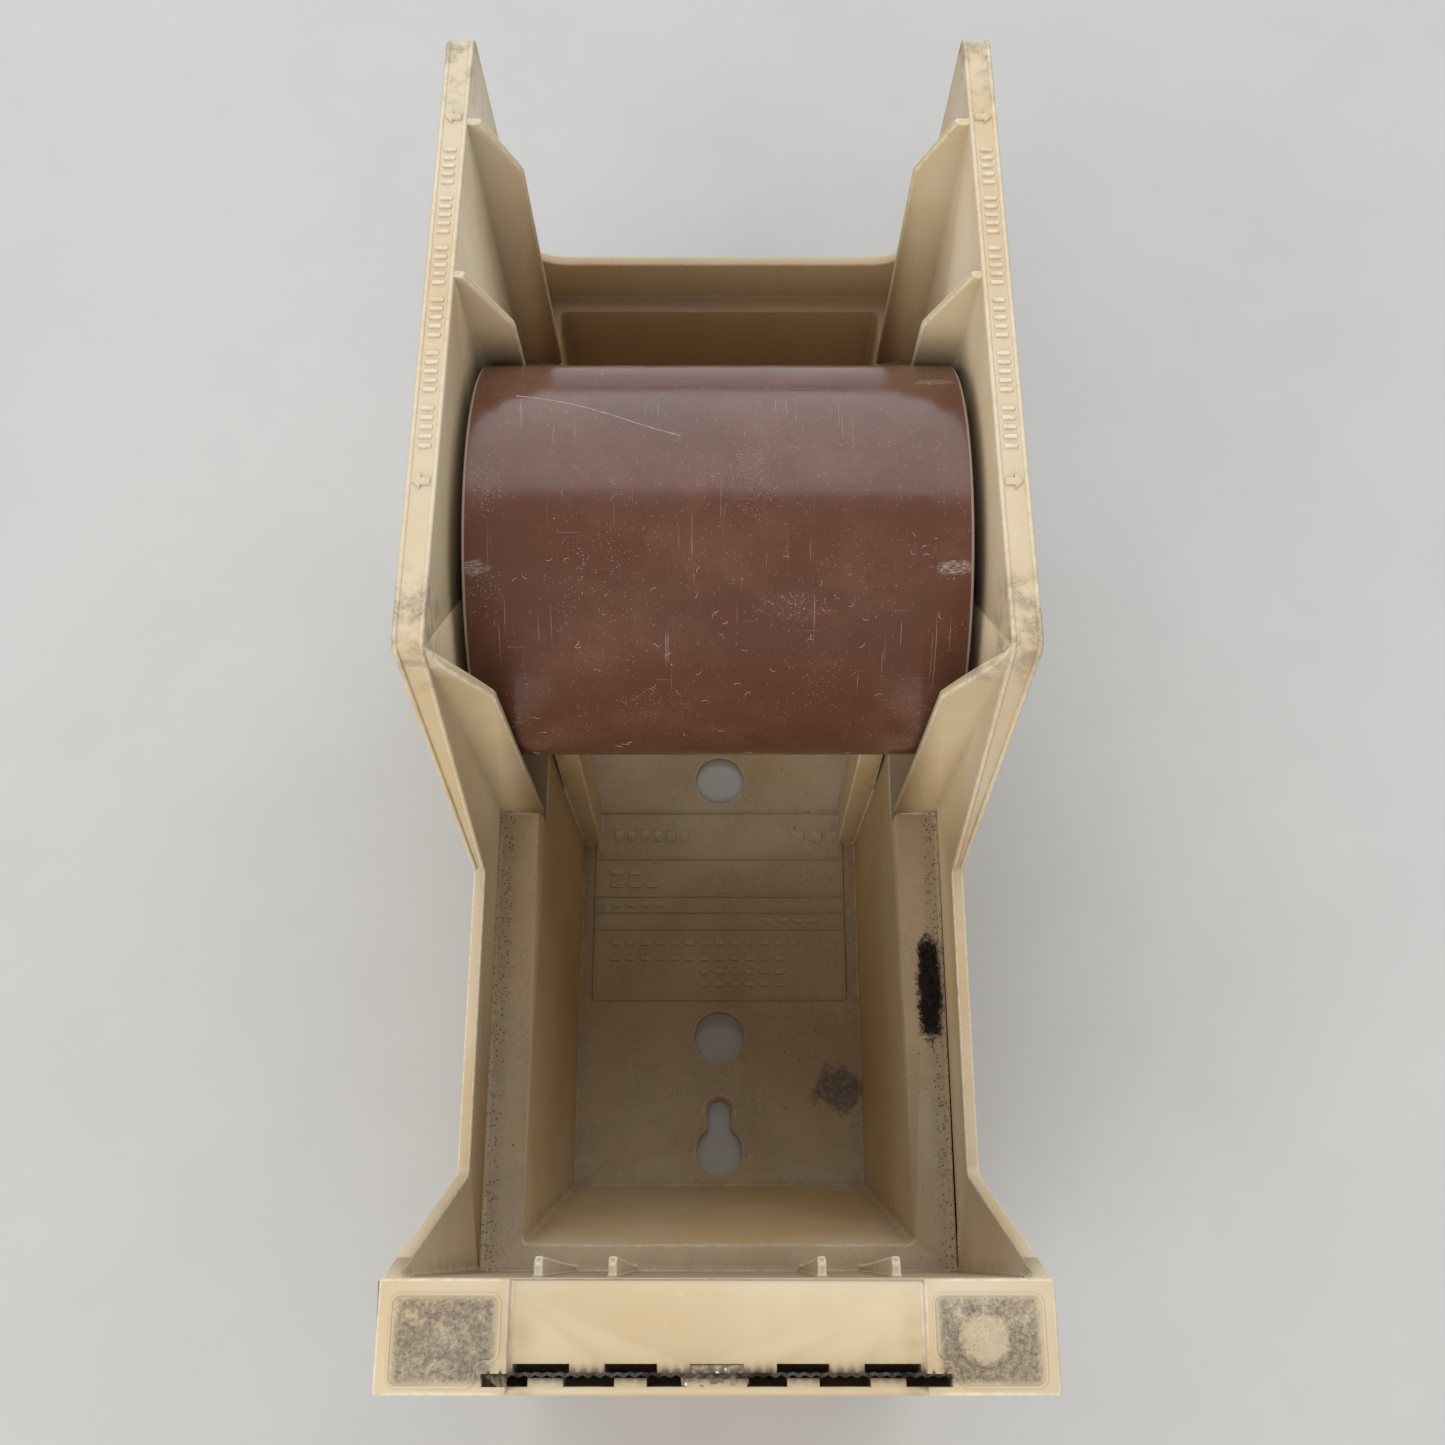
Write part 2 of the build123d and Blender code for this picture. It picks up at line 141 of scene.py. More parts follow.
class Shader:
    """Builds one material's node tree."""

    def __init__(self, name: str) -> None:
        """Starts an empty material.

        Args:
            name: The material's name.
        """
        self.material = bpy.data.materials.new(name)
        self.material.use_nodes = True
        self.tree = self.material.node_tree
        self.tree.nodes.clear()
        self.coordinates = self.node("ShaderNodeTexCoord")
        scaled = self.node("ShaderNodeVectorMath", operation="SCALE")
        self.tree.links.new(self.coordinates.outputs["Object"], scaled.inputs[0])
        scaled.inputs["Scale"].default_value = 1 / MM
        self.place = scaled.outputs[0]
        split = self.node("ShaderNodeSeparateXYZ")
        self.tree.links.new(self.place, split.inputs[0])
        self.x, self.y, self.z = split.outputs
        facing = self.node("ShaderNodeSeparateXYZ")
        self.tree.links.new(self.coordinates.outputs["Normal"], facing.inputs[0])
        self.rearward, self.up = facing.outputs[1], facing.outputs[2]

    def node(self, kind: str, **properties: object) -> bpy.types.Node:
        """Adds a node and sets its properties.

        Args:
            kind: The node's type name.
            properties: Values for the node's own properties.

        Returns:
            The new node.
        """
        made = self.tree.nodes.new(kind)
        for key, value in properties.items():
            setattr(made, key, value)
        return made

    def feed(self, socket: bpy.types.NodeSocket, value: object) -> None:
        """Links a socket to another, or sets its value."""
        if isinstance(value, bpy.types.NodeSocket):
            self.tree.links.new(value, socket)
        elif isinstance(value, tuple) and len(value) == 3 and socket.type == "RGBA":
            socket.default_value = (*value, 1.0)
        else:
            socket.default_value = value

    def math(self, operation: str, *values: object) -> bpy.types.NodeSocket:
        """Result of a Math node on up to three values."""
        made = self.node("ShaderNodeMath", operation=operation)
        for socket, value in zip(made.inputs, values):
            self.feed(socket, value)
        return made.outputs[0]

    def times(self, *values: object) -> bpy.types.NodeSocket:
        """Product of several values."""
        result = values[0]
        for value in values[1:]:
            result = self.math("MULTIPLY", result, value)
        return result

    def most(self, *values: object) -> bpy.types.NodeSocket:
        """Largest of several values."""
        result = values[0]
        for value in values[1:]:
            result = self.math("MAXIMUM", result, value)
        return result

    def span(
        self, value: object, low: float, high: float, start: float = 0.0, end: float = 1.0
    ) -> bpy.types.NodeSocket:
        """Smooth step of a value from start at low to end at high."""
        made = self.node("ShaderNodeMapRange", interpolation_type="SMOOTHSTEP")
        for socket, item in zip(made.inputs, (value, low, high, start, end)):
            self.feed(socket, item)
        return made.outputs[0]

    def near(self, value: object, middle: float, half: float, soft: float) -> bpy.types.NodeSocket:
        """1 where a value is within half of middle, falling to 0 over soft."""
        offset = self.math("ABSOLUTE", self.math("SUBTRACT", value, middle))
        return self.span(offset, half, half + soft, 1.0, 0.0)

    def stretched(self, scale: Point) -> bpy.types.NodeSocket:
        """The place in millimetres, scaled by a different number along each axis."""
        made = self.node("ShaderNodeVectorMath", operation="MULTIPLY")
        self.tree.links.new(self.place, made.inputs[0])
        made.inputs[1].default_value = scale
        return made.outputs[0]

    def noise(
        self, scale: float, detail: float = 3.0, roughness: float = 0.55, vector: object = None
    ) -> bpy.types.NodeSocket:
        """Noise with so many features per millimetre."""
        made = self.node("ShaderNodeTexNoise")
        self.feed(made.inputs["Vector"], self.place if vector is None else vector)
        self.feed(made.inputs["Scale"], scale)
        self.feed(made.inputs["Detail"], detail)
        self.feed(made.inputs["Roughness"], roughness)
        return made.outputs[0]

    def specks(
        self, scale: float, radius: float, share: object, vector: object = None
    ) -> bpy.types.NodeSocket:
        """Mask of scattered round specks.

        Args:
            scale: Cells per millimetre.
            radius: Radius of a speck as a share of a cell.
            share: Share of the cells that hold a speck, a socket or a value.
            vector: Place to read, or None for the place in millimetres.

        Returns:
            A value from 0 to 1.
        """
        cells = self.node("ShaderNodeTexVoronoi")
        self.feed(cells.inputs["Vector"], self.place if vector is None else vector)
        self.feed(cells.inputs["Scale"], scale)
        inside = self.span(cells.outputs["Distance"], radius * 0.6, radius, 1.0, 0.0)
        split = self.node("ShaderNodeSeparateColor")
        self.tree.links.new(cells.outputs["Color"], split.inputs[0])
        chosen = self.math("LESS_THAN", split.outputs[0], share)
        return self.times(inside, chosen)

    def spot(
        self, middle: Point, reach: Point, scale: float, ragged: float = 1.6, vector: object = None
    ) -> bpy.types.NodeSocket:
        """Mask of one spot with a ragged edge.

        Args:
            middle: The spot's centre.
            reach: Half its size along each axis.
            scale: Features of its edge per millimetre.
            ragged: How far its edge strays.
            vector: Place to read, or None for the place in millimetres.

        Returns:
            A value from 0 to 1.
        """
        offset = self.node("ShaderNodeVectorMath", operation="SUBTRACT")
        self.feed(offset.inputs[0], self.place if vector is None else vector)
        offset.inputs[1].default_value = middle
        scaled = self.node("ShaderNodeVectorMath", operation="DIVIDE")
        self.feed(scaled.inputs[0], offset.outputs[0])
        scaled.inputs[1].default_value = reach
        length = self.node("ShaderNodeVectorMath", operation="LENGTH")
        self.feed(length.inputs[0], scaled.outputs[0])
        edge = self.math("MULTIPLY_ADD", self.noise(scale, 6.0, 0.75), ragged, length.outputs["Value"])
        limit = 0.85 + ragged * MEAN_NOISE
        return self.span(edge, limit - 0.2, limit + 0.1, 1.0, 0.0)

    def blend(self, factor: object, first: object, second: object) -> bpy.types.NodeSocket:
        """Colour between two colours."""
        made = self.node("ShaderNodeMix", data_type="RGBA")
        self.feed(made.inputs[0], factor)
        self.feed(made.inputs[6], first)
        self.feed(made.inputs[7], second)
        return made.outputs[2]

    def bump(
        self, height: object, strength: float, distance: float, normal: object = None
    ) -> bpy.types.NodeSocket:
        """Normal from a height, on top of another normal if there is one."""
        made = self.node("ShaderNodeBump")
        made.inputs["Strength"].default_value = strength
        made.inputs["Distance"].default_value = distance * MM
        self.feed(made.inputs["Height"], height)
        if normal is not None:
            self.feed(made.inputs["Normal"], normal)
        return made.outputs[0]

    def finish(
        self, colour: object, roughness: object, normal: object = None, **plain: float
    ) -> bpy.types.Material:
        """Adds the surface and output.

        Args:
            colour: Base colour, a socket or a value.
            roughness: Roughness, a socket or a value.
            normal: Normal socket, or None.
            plain: Values of other sockets, with underscores for the spaces in their names.

        Returns:
            The finished material.
        """
        surface = self.node("ShaderNodeBsdfPrincipled")
        self.feed(surface.inputs["Base Color"], colour)
        self.feed(surface.inputs["Roughness"], roughness)
        if normal is not None:
            self.feed(surface.inputs["Normal"], normal)
        for key, value in plain.items():
            surface.inputs[key.replace("_", " ")].default_value = value
        output = self.node("ShaderNodeOutputMaterial")
        self.tree.links.new(surface.outputs[0], output.inputs[0])
        return self.material


# ---- Finishes ----------------------------------------------------------------------------------------


@dataclass(frozen=True)
class MouldedPlastic:
    """Beige satin moulding, rubbed pale on its edges and dirty where dust and thumbs collect, with painted
    highlight on its edges and painted shade lower down, in inside corners, on the post's rear face and low
    in the rear of the tub.
    """

    name: str = "beige_moulding"
    clean: Colour = (0.60, 0.50, 0.345)
    # Also the colour of the painted shade lower in the body.
    aged_and_shaded: Colour = (0.53, 0.37, 0.185)
    # Also the colour of the painted highlight on edges.
    worn_and_highlight: Colour = (0.76, 0.68, 0.54)
    # Also the colour of the painted shade in inside corners.
    dust: Colour = (0.21, 0.165, 0.12)
    grime: Colour = (0.085, 0.066, 0.066)
    # Also the colour of the painted shade low in the rear of the tub.
    stain_and_shade: Colour = (0.36, 0.215, 0.105)
    # Also the colour of the painted shade on the post's rear face.
    ingrained_and_shade: Colour = (0.265, 0.18, 0.098)
    crumb: Colour = (0.05, 0.038, 0.03)
    fluff: Colour = (0.018, 0.013, 0.012)
    fluff_middle: tuple[float, float] = (42.6, -49.5)
    smudge_middle: tuple[float, float] = (29.8, -57.5)
    post_rear: float = -105.0

    @staticmethod
    def low_level(shader: Shader) -> bpy.types.NodeSocket:
        """Mask of the faces that look up, from the table to a little above the ledge."""
        m = MOULDING
        level = shader.span(shader.up, 0.5, 0.9)
        low = shader.span(shader.z, m.ledge_height + 4, m.ledge_height + 16, 1.0, 0.0)
        return shader.times(level, low)

    def thumb_grime(self, shader: Shader) -> bpy.types.NodeSocket:
        """Mask of the grime on the two thumb pads, rubbed clean at the middle of the right one."""
        m = MOULDING
        middle_x, middle_y = m.pad_middle
        half_x, half_y = m.pad_half
        on_pad = shader.times(
            shader.near(shader.math("ABSOLUTE", shader.x), middle_x, half_x - 1.6, 1.8),
            shader.near(shader.y, middle_y, half_y - 1.4, 1.8),
            shader.span(shader.z, m.pad_top - 1.5, m.pad_top - 0.5),
        )
        cover = shader.span(shader.noise(0.16, 5.0, 0.66), 0.30, 0.50, 0.22, 1.0)
        grain = shader.span(shader.noise(1.5, 5.0, 0.8), 0.34, 0.66, 0.42, 1.0)
        rubbed = shader.spot((m.thumb_x, m.thumb_y, m.pad_top), (4.2, 4.2, 8.0), 0.9, 0.7)
        kept = shader.math("SUBTRACT", 1.0, shader.times(rubbed, 0.62))
        return shader.times(on_pad, cover, grain, kept, 0.80)

    def film_and_post_shade(self, shader: Shader) -> bpy.types.NodeSocket:
        """Mask of the brown layer soaked into low level faces, and of painted shade on the rear face of the
        post.
        """
        m = MOULDING
        floor = shader.span(shader.z, m.floor_top + 2, m.floor_top + 10, 0.34, 0.66)
        cloud = shader.span(shader.noise(0.05, 4.0, 0.6), 0.32, 0.66, 0.7, 1.0)
        # Painted shade on the post's rear face.
        post = shader.times(
            shader.near(shader.y, self.post_rear, 1.9, 0.3),
            shader.span(shader.z, m.pad_top - 10.5, m.pad_top - 2.0, 0.62, 0.0),
            shader.span(shader.rearward, 0.6, 0.8),
        )
        return shader.most(shader.times(self.low_level(shader), floor, cloud), post)

    def resting_dust(self, shader: Shader) -> bpy.types.NodeSocket:
        """Mask of the dust that lies on faces that look up, low in the body."""
        mottle = shader.span(shader.noise(1.1, 6.0, 0.8), 0.38, 0.68)
        cloud = shader.span(shader.noise(0.06, 4.0, 0.6), 0.40, 0.64, 0.12, 1.0)
        return shader.times(self.low_level(shader), mottle, cloud, 0.50)

    def crumbs(self, shader: Shader) -> bpy.types.NodeSocket:
        """Mask of small dark crumbs, most of them along the foot of the walls and on the floor."""
        m = MOULDING
        level = shader.span(shader.up, 0.4, 0.8)
        inside = shader.span(shader.z, m.ledge_height + 6, m.ledge_height + 12, 1.0, 0.0)
        foot = shader.times(
            shader.near(shader.math("ABSOLUTE", shader.x), m.ledge_outer - 1.0, 1.3, 1.6),
            shader.near(shader.z, m.ledge_height + 0.6, 1.2, 1.0),
        )
        ragged = shader.node("ShaderNodeVectorMath", operation="ADD")
        shader.feed(ragged.inputs[0], shader.place)
        shader.feed(ragged.inputs[1], shader.noise(2.2, 3.0, 0.6))
        crowd = shader.span(shader.noise(0.09, 4.0, 0.6), 0.42, 0.66, 0.02, 0.16)
        fine = shader.specks(1.9, 0.34, crowd, ragged.outputs[0])
        coarse = shader.specks(0.30, 0.11, 0.16, ragged.outputs[0])
        line = shader.times(foot, shader.specks(1.6, 0.42, 0.50, ragged.outputs[0]), 0.85)
        strewn = shader.times(level, inside, shader.most(fine, coarse), 0.70)
        return shader.most(strewn, line)

    def corner_shade(self, shader: Shader) -> bpy.types.NodeSocket:
        """Mask of painted shade in inside corners, from ambient occlusion, mottled and weaker high up."""
        shelter = shader.node("ShaderNodeAmbientOcclusion", samples=6)
        shelter.inputs["Distance"].default_value = 6 * MM
        closed = shader.span(shelter.outputs["AO"], 0.45, 0.92, 1.0, 0.0)
        mottle = shader.span(shader.noise(0.30, 6.0, 0.78), 0.34, 0.66, 0.15, 1.0)
        fading_upward = shader.span(shader.z, 118.0, 156.0, 1.0, 0.30)
        return shader.times(closed, mottle, fading_upward, 0.80)

    def stains_and_rear_shade(self, shader: Shader) -> bpy.types.NodeSocket:
        """Mask of the brown staining beside the thumb pads, and of painted shade low in the rear of the
        tub.
        """
        m = MOULDING
        top = shader.span(shader.z, m.pad_top - 4.0, m.pad_top - 2.0)
        beside = shader.near(shader.math("ABSOLUTE", shader.x), m.pad_inner - 2.2, 0.6, 3.4)
        near_blade = shader.span(shader.y, -119.0, -107.0, 1.0, 0.25)
        cloud = shader.span(shader.noise(0.14, 4.0, 0.6), 0.34, 0.60, 0.25, 1.0)
        pads = shader.times(top, beside, near_blade, cloud, 0.55)
        # Painted shade: browner low in the rear of the tub, behind the drum.
        behind = shader.span(shader.y, 58.0, 96.0)
        sunk = shader.span(shader.z, 78.0, 112.0, 1.0, 0.0)
        return shader.most(pads, shader.times(behind, sunk, 0.85))

    def handled(self, shader: Shader) -> bpy.types.NodeSocket:
        """Mask of the dirt on the rim's corners, where hands take hold."""
        m = MOULDING
        high = shader.span(shader.z, m.rim_tip[1] - 7, m.rim_tip[1] - 2)
        front = shader.near(shader.y, m.rim_corner[0] + 5, 3.0, 10.0)
        rear = shader.near(shader.y, m.rim_tip[0], 4.0, 24.0)
        cloud = shader.span(shader.noise(0.22, 5.0, 0.65), 0.42, 0.62)
        grain = shader.span(shader.noise(1.8, 4.0, 0.8), 0.34, 0.66, 0.35, 1.0)
        return shader.times(high, shader.most(front, rear), cloud, grain, 0.50)

    def smudge(self, shader: Shader) -> bpy.types.NodeSocket:
        """Mask of the dark smudge on the tub's floor, right of the keyhole."""
        middle = (*self.smudge_middle, MOULDING.floor_top)
        smear = shader.span(shader.noise(0.9, 5.0, 0.8), 0.30, 0.56, 0.25, 1.0)
        return shader.times(shader.spot(middle, (7.0, 7.0, 4.0), 0.16, 2.6), smear, 0.78)

    def scuffs(self, shader: Shader) -> bpy.types.NodeSocket:
        """Mask of the pale upright scuffs high on the walls."""
        lines = shader.noise(1.0, 5.0, 0.7, shader.stretched((1.0, 0.9, 0.10)))
        patches = shader.span(shader.noise(0.06, 3.0, 0.5), 0.46, 0.64)
        high = shader.span(shader.z, 110.0, 150.0)
        return shader.times(shader.span(lines, 0.60, 0.74), patches, high, 0.42)

    def edge_wear_and_highlight(self, shader: Shader) -> bpy.types.NodeSocket:
        """Mask of the pale rubbed edges and painted highlight on rounded edges and raised details."""
        edges = shader.node("ShaderNodeAttribute", attribute_name=WEAR_AND_HIGHLIGHT)
        mottle = shader.span(shader.noise(0.5, 5.0, 0.7), 0.30, 0.62)
        return shader.times(edges.outputs["Fac"], mottle, 0.75)

    def make(self) -> bpy.types.Material:
        """The finished material."""
        shader = Shader(self.name)
        # Painted shade: darker and browner lower in the body, over random patches of a browner tone.
        depth_shade = shader.span(shader.z, 40.0, 135.0, 0.55, 0.0)
        patches = shader.span(shader.noise(0.022, 4.0, 0.6), 0.35, 0.68)
        patchy = shader.math("MULTIPLY_ADD", patches, 0.6, depth_shade)
        colour = shader.blend(shader.math("MINIMUM", patchy, 1.0), self.clean, self.aged_and_shaded)
        lint_middle = (*self.fluff_middle, MOULDING.ledge_height + 0.6)
        lint = shader.spot(lint_middle, (2.9, 12.5, 4.0), 0.8)
        dirty = shader.most(self.thumb_grime(shader), self.handled(shader))
        for mask, tint in (
            (self.scuffs(shader), self.worn_and_highlight),
            # Pale edge rubbing and painted highlight.
            (self.edge_wear_and_highlight(shader), self.worn_and_highlight),
            # Brown staining by the pads, and painted shade low in the rear of the tub.
            (self.stains_and_rear_shade(shader), self.stain_and_shade),
            # Painted shade in inside corners, in the dust colour.
            (self.corner_shade(shader), self.dust),
            # Brown layer on low level faces, and painted shade on the post's rear face.
            (self.film_and_post_shade(shader), self.ingrained_and_shade),
            (self.resting_dust(shader), self.dust),
            (self.smudge(shader), self.grime),
            (shader.times(lint, 0.97), self.fluff),
            (dirty, self.grime),
            (self.crumbs(shader), self.crumb),
        ):
            colour = shader.blend(mask, colour, tint)
        matt = shader.most(dirty, lint)
        polish = shader.span(shader.noise(0.3, 4.0, 0.6), 0.3, 0.7, 0.40, 0.52)
        roughness = shader.math("MULTIPLY_ADD", matt, 0.35, polish)
        skin = shader.bump(shader.noise(2.6, 3.0, 0.6), 0.10, 0.12)
        waves = shader.bump(shader.noise(0.05, 2.0, 0.4), 0.25, 0.5, skin)
        relief = shader.bump(shader.times(shader.noise(2.2, 5.0, 0.8), matt), 0.8, 0.35, waves)
        return shader.finish(colour, roughness, relief, Specular_IOR_Level=0.45)


@dataclass(frozen=True)
class DrumPlastic:
    """Dark red-brown gloss plastic with fine scratches, dust and pale smears.

    A patch of dust or a smear is its place along the drum, its angle in degrees from the top to the
    rear, half its length, half its arc and its strength.
    """

    name: str = "brown_drum"
    colour: Colour = (0.098, 0.036, 0.021)
    faded: Colour = (0.128, 0.054, 0.034)
    pale: Colour = (0.62, 0.55, 0.51)
    axis_y: float = 0.0
    axis_z: float = 0.0
    radius: float = 1.0
    rim: tuple[float, float] = (43.75, 43.95)
    dusty: tuple[Patch, ...] = (
        (6.5, -3.5, 5.0, 8.0, 0.30),
        (13.3, -38.0, 7.0, 3.4, 0.42),
        (-40.2, -6.0, 3.6, 6.0, 0.42),
        (-41.0, -34.0, 4.5, 6.0, 0.22),
        (37.5, -80.0, 4.0, 9.0, 0.40),
        (-13.5, -66.0, 5.0, 2.6, 0.40),
        (-38.5, -74.0, 5.0, 7.0, 0.30),
        (-20.0, -30.0, 11.0, 10.0, 0.12),
        (18.0, -60.0, 9.0, 9.0, 0.10),
    )
    smears: tuple[Patch, ...] = (
        (-42.0, -27.5, 3.0, 1.6, 0.34),
        (41.0, -27.5, 3.8, 1.6, 0.44),
        (39.5, 34.0, 4.5, 1.4, 0.24),
    )

    def wrapped(self, shader: Shader, along: float, around: float) -> bpy.types.NodeSocket:
        """Place unrolled from the drum, scaled by one number along its axis and one around it."""
        angle = shader.math(
            "ARCTAN2",
            shader.math("SUBTRACT", shader.y, self.axis_y),
            shader.math("SUBTRACT", shader.z, self.axis_z),
        )
        joined = shader.node("ShaderNodeCombineXYZ")
        shader.feed(joined.inputs[0], shader.math("MULTIPLY", shader.x, along))
        shader.feed(joined.inputs[1], shader.math("MULTIPLY", angle, self.radius * around))
        return joined.outputs[0]

    def patch(
        self, shader: Shader, patch: Patch, scale: float, ragged: float
    ) -> tuple[bpy.types.NodeSocket, float]:
        """Mask of one patch of dust or one smear, and its strength."""
        x, angle, half_x, half_arc, strength = patch
        middle = (x, math.radians(angle) * self.radius, 0.0)
        unrolled = self.wrapped(shader, 1.0, 1.0)
        return shader.spot(middle, (half_x, half_arc, 1.0), scale, ragged, unrolled), strength

    def scratches(self, shader: Shader) -> bpy.types.NodeSocket:
        """Mask of fine scratches that run round the drum and along it."""
        round_lines = shader.noise(1.0, 2.0, 0.5, self.wrapped(shader, 2.6, 0.045))
        along_lines = shader.noise(1.0, 2.0, 0.5, self.wrapped(shader, 0.05, 2.2))
        patches = shader.span(shader.noise(0.07, 3.0, 0.6), 0.45, 0.62)
        along = shader.times(shader.span(along_lines, 0.69, 0.74), 0.7)
        return shader.times(shader.most(shader.span(round_lines, 0.665, 0.72), along), patches)

    def make(self) -> bpy.types.Material:
        """The finished material."""
        shader = Shader(self.name)
        haze = shader.span(shader.noise(0.05, 5.0, 0.65), 0.40, 0.70)
        colour = shader.blend(haze, self.colour, self.faded)
        scratched = self.scratches(shader)
        unrolled = self.wrapped(shader, 1.0, 1.0)
        crowd = shader.span(shader.noise(0.05, 4.0, 0.6), 0.38, 0.68, 0.015, 0.085)
        for patch in self.dusty:
            crowd = shader.most(crowd, shader.times(*self.patch(shader, patch, 0.30, 2.4)))
        bright = shader.span(shader.noise(0.8, 3.0, 0.6), 0.36, 0.64, 0.25, 1.0)
        fine = shader.times(shader.specks(3.4, 0.34, shader.times(crowd, 1.5), unrolled), bright, 0.46)
        middling = shader.times(shader.specks(1.2, 0.14, shader.times(crowd, 1.1), unrolled), bright)
        coarse = shader.specks(0.24, 0.035, 0.16, unrolled)
        streaks = shader.span(shader.noise(1.0, 4.0, 0.8, self.wrapped(shader, 0.9, 4.2)), 0.42, 0.62)
        marks = shader.most(
            shader.times(scratched, 0.26),
            fine,
            shader.times(shader.most(middling, coarse), 0.72),
            *(shader.times(*self.patch(shader, smear, 0.6, 1.2), streaks) for smear in self.smears),
            shader.times(shader.span(shader.math("ABSOLUTE", shader.x), *self.rim), 0.45),
        )
        colour = shader.blend(marks, colour, self.pale)
        polish = shader.span(shader.noise(0.12, 5.0, 0.65), 0.3, 0.7, 0.15, 0.25)
        roughness = shader.math("MULTIPLY_ADD", marks, 0.35, polish)
        drawn = shader.bump(shader.math("MULTIPLY", scratched, -1.0), 0.25, 0.05)
        skin = shader.bump(shader.noise(0.10, 3.0, 0.5), 0.12, 0.4, drawn)
        return shader.finish(colour, roughness, skin, Specular_IOR_Level=0.5)


@dataclass(frozen=True)
class BladeSteel:
    """Dull spring steel with brown residue near its teeth."""

    name: str = "blade_steel"
    steel: Colour = (0.30, 0.28, 0.26)
    residue: Colour = (0.07, 0.052, 0.042)

    def make(self) -> bpy.types.Material:
        """The finished material."""
        shader = Shader(self.name)
        drawn = shader.noise(1.0, 4.0, 0.6, shader.stretched((0.08, 1.0, 3.0)))
        dirt = shader.span(shader.noise(0.30, 6.0, 0.75), 0.42, 0.62)
        colour = shader.blend(shader.times(dirt, 0.85), self.steel, self.residue)
        roughness = shader.span(drawn, 0.3, 0.7, 0.28, 0.50)
        relief = shader.bump(shader.math("ADD", drawn, dirt), 0.3, 0.06)
        return shader.finish(colour, roughness, relief, Metallic=0.85)


@dataclass(frozen=True)
class Residue:
    """Old tape adhesive: tan, glossy, with pale crumbs stuck in it."""

    name: str = "tape_residue"
    tan: Colour = (0.36, 0.27, 0.18)
    brown: Colour = (0.17, 0.115, 0.075)
    crumb: Colour = (0.85, 0.84, 0.80)

    def make(self) -> bpy.types.Material:
        """The finished material."""
        shader = Shader(self.name)
        patchy = shader.span(shader.noise(0.7, 5.0, 0.7), 0.36, 0.62)
        colour = shader.blend(patchy, self.tan, self.brown)
        crumbs = shader.specks(0.9, 0.30, 0.16)
        colour = shader.blend(crumbs, colour, self.crumb)
        relief = shader.bump(shader.noise(1.8, 4.0, 0.7), 0.6, 0.25)
        return shader.finish(colour, 0.18, relief, Specular_IOR_Level=0.6)


@dataclass(frozen=True)
class Lint:
    """Dull fibres of dust."""

    name: str
    dark: Colour
    light: Colour

    def make(self) -> bpy.types.Material:
        """The finished material."""
        shader = Shader(self.name)
        tone = shader.span(shader.noise(0.9, 3.0, 0.6), 0.35, 0.65)
        return shader.finish(shader.blend(tone, self.dark, self.light), 0.9, Specular_IOR_Level=0.2)


@dataclass(frozen=True)
class TableTop:
    """Plain pale table."""

    name: str = "pale_table"
    colour: Colour = (0.52, 0.516, 0.508)

    def make(self) -> bpy.types.Material:
        """The finished material."""
        shader = Shader(self.name)
        tone = shader.span(shader.noise(0.02, 4.0, 0.6), 0.3, 0.7)
        low = tuple(0.96 * part for part in self.colour)
        return shader.finish(shader.blend(tone, self.colour, low), 0.85)


# ---- Geometry node trees -----------------------------------------------------------------------------


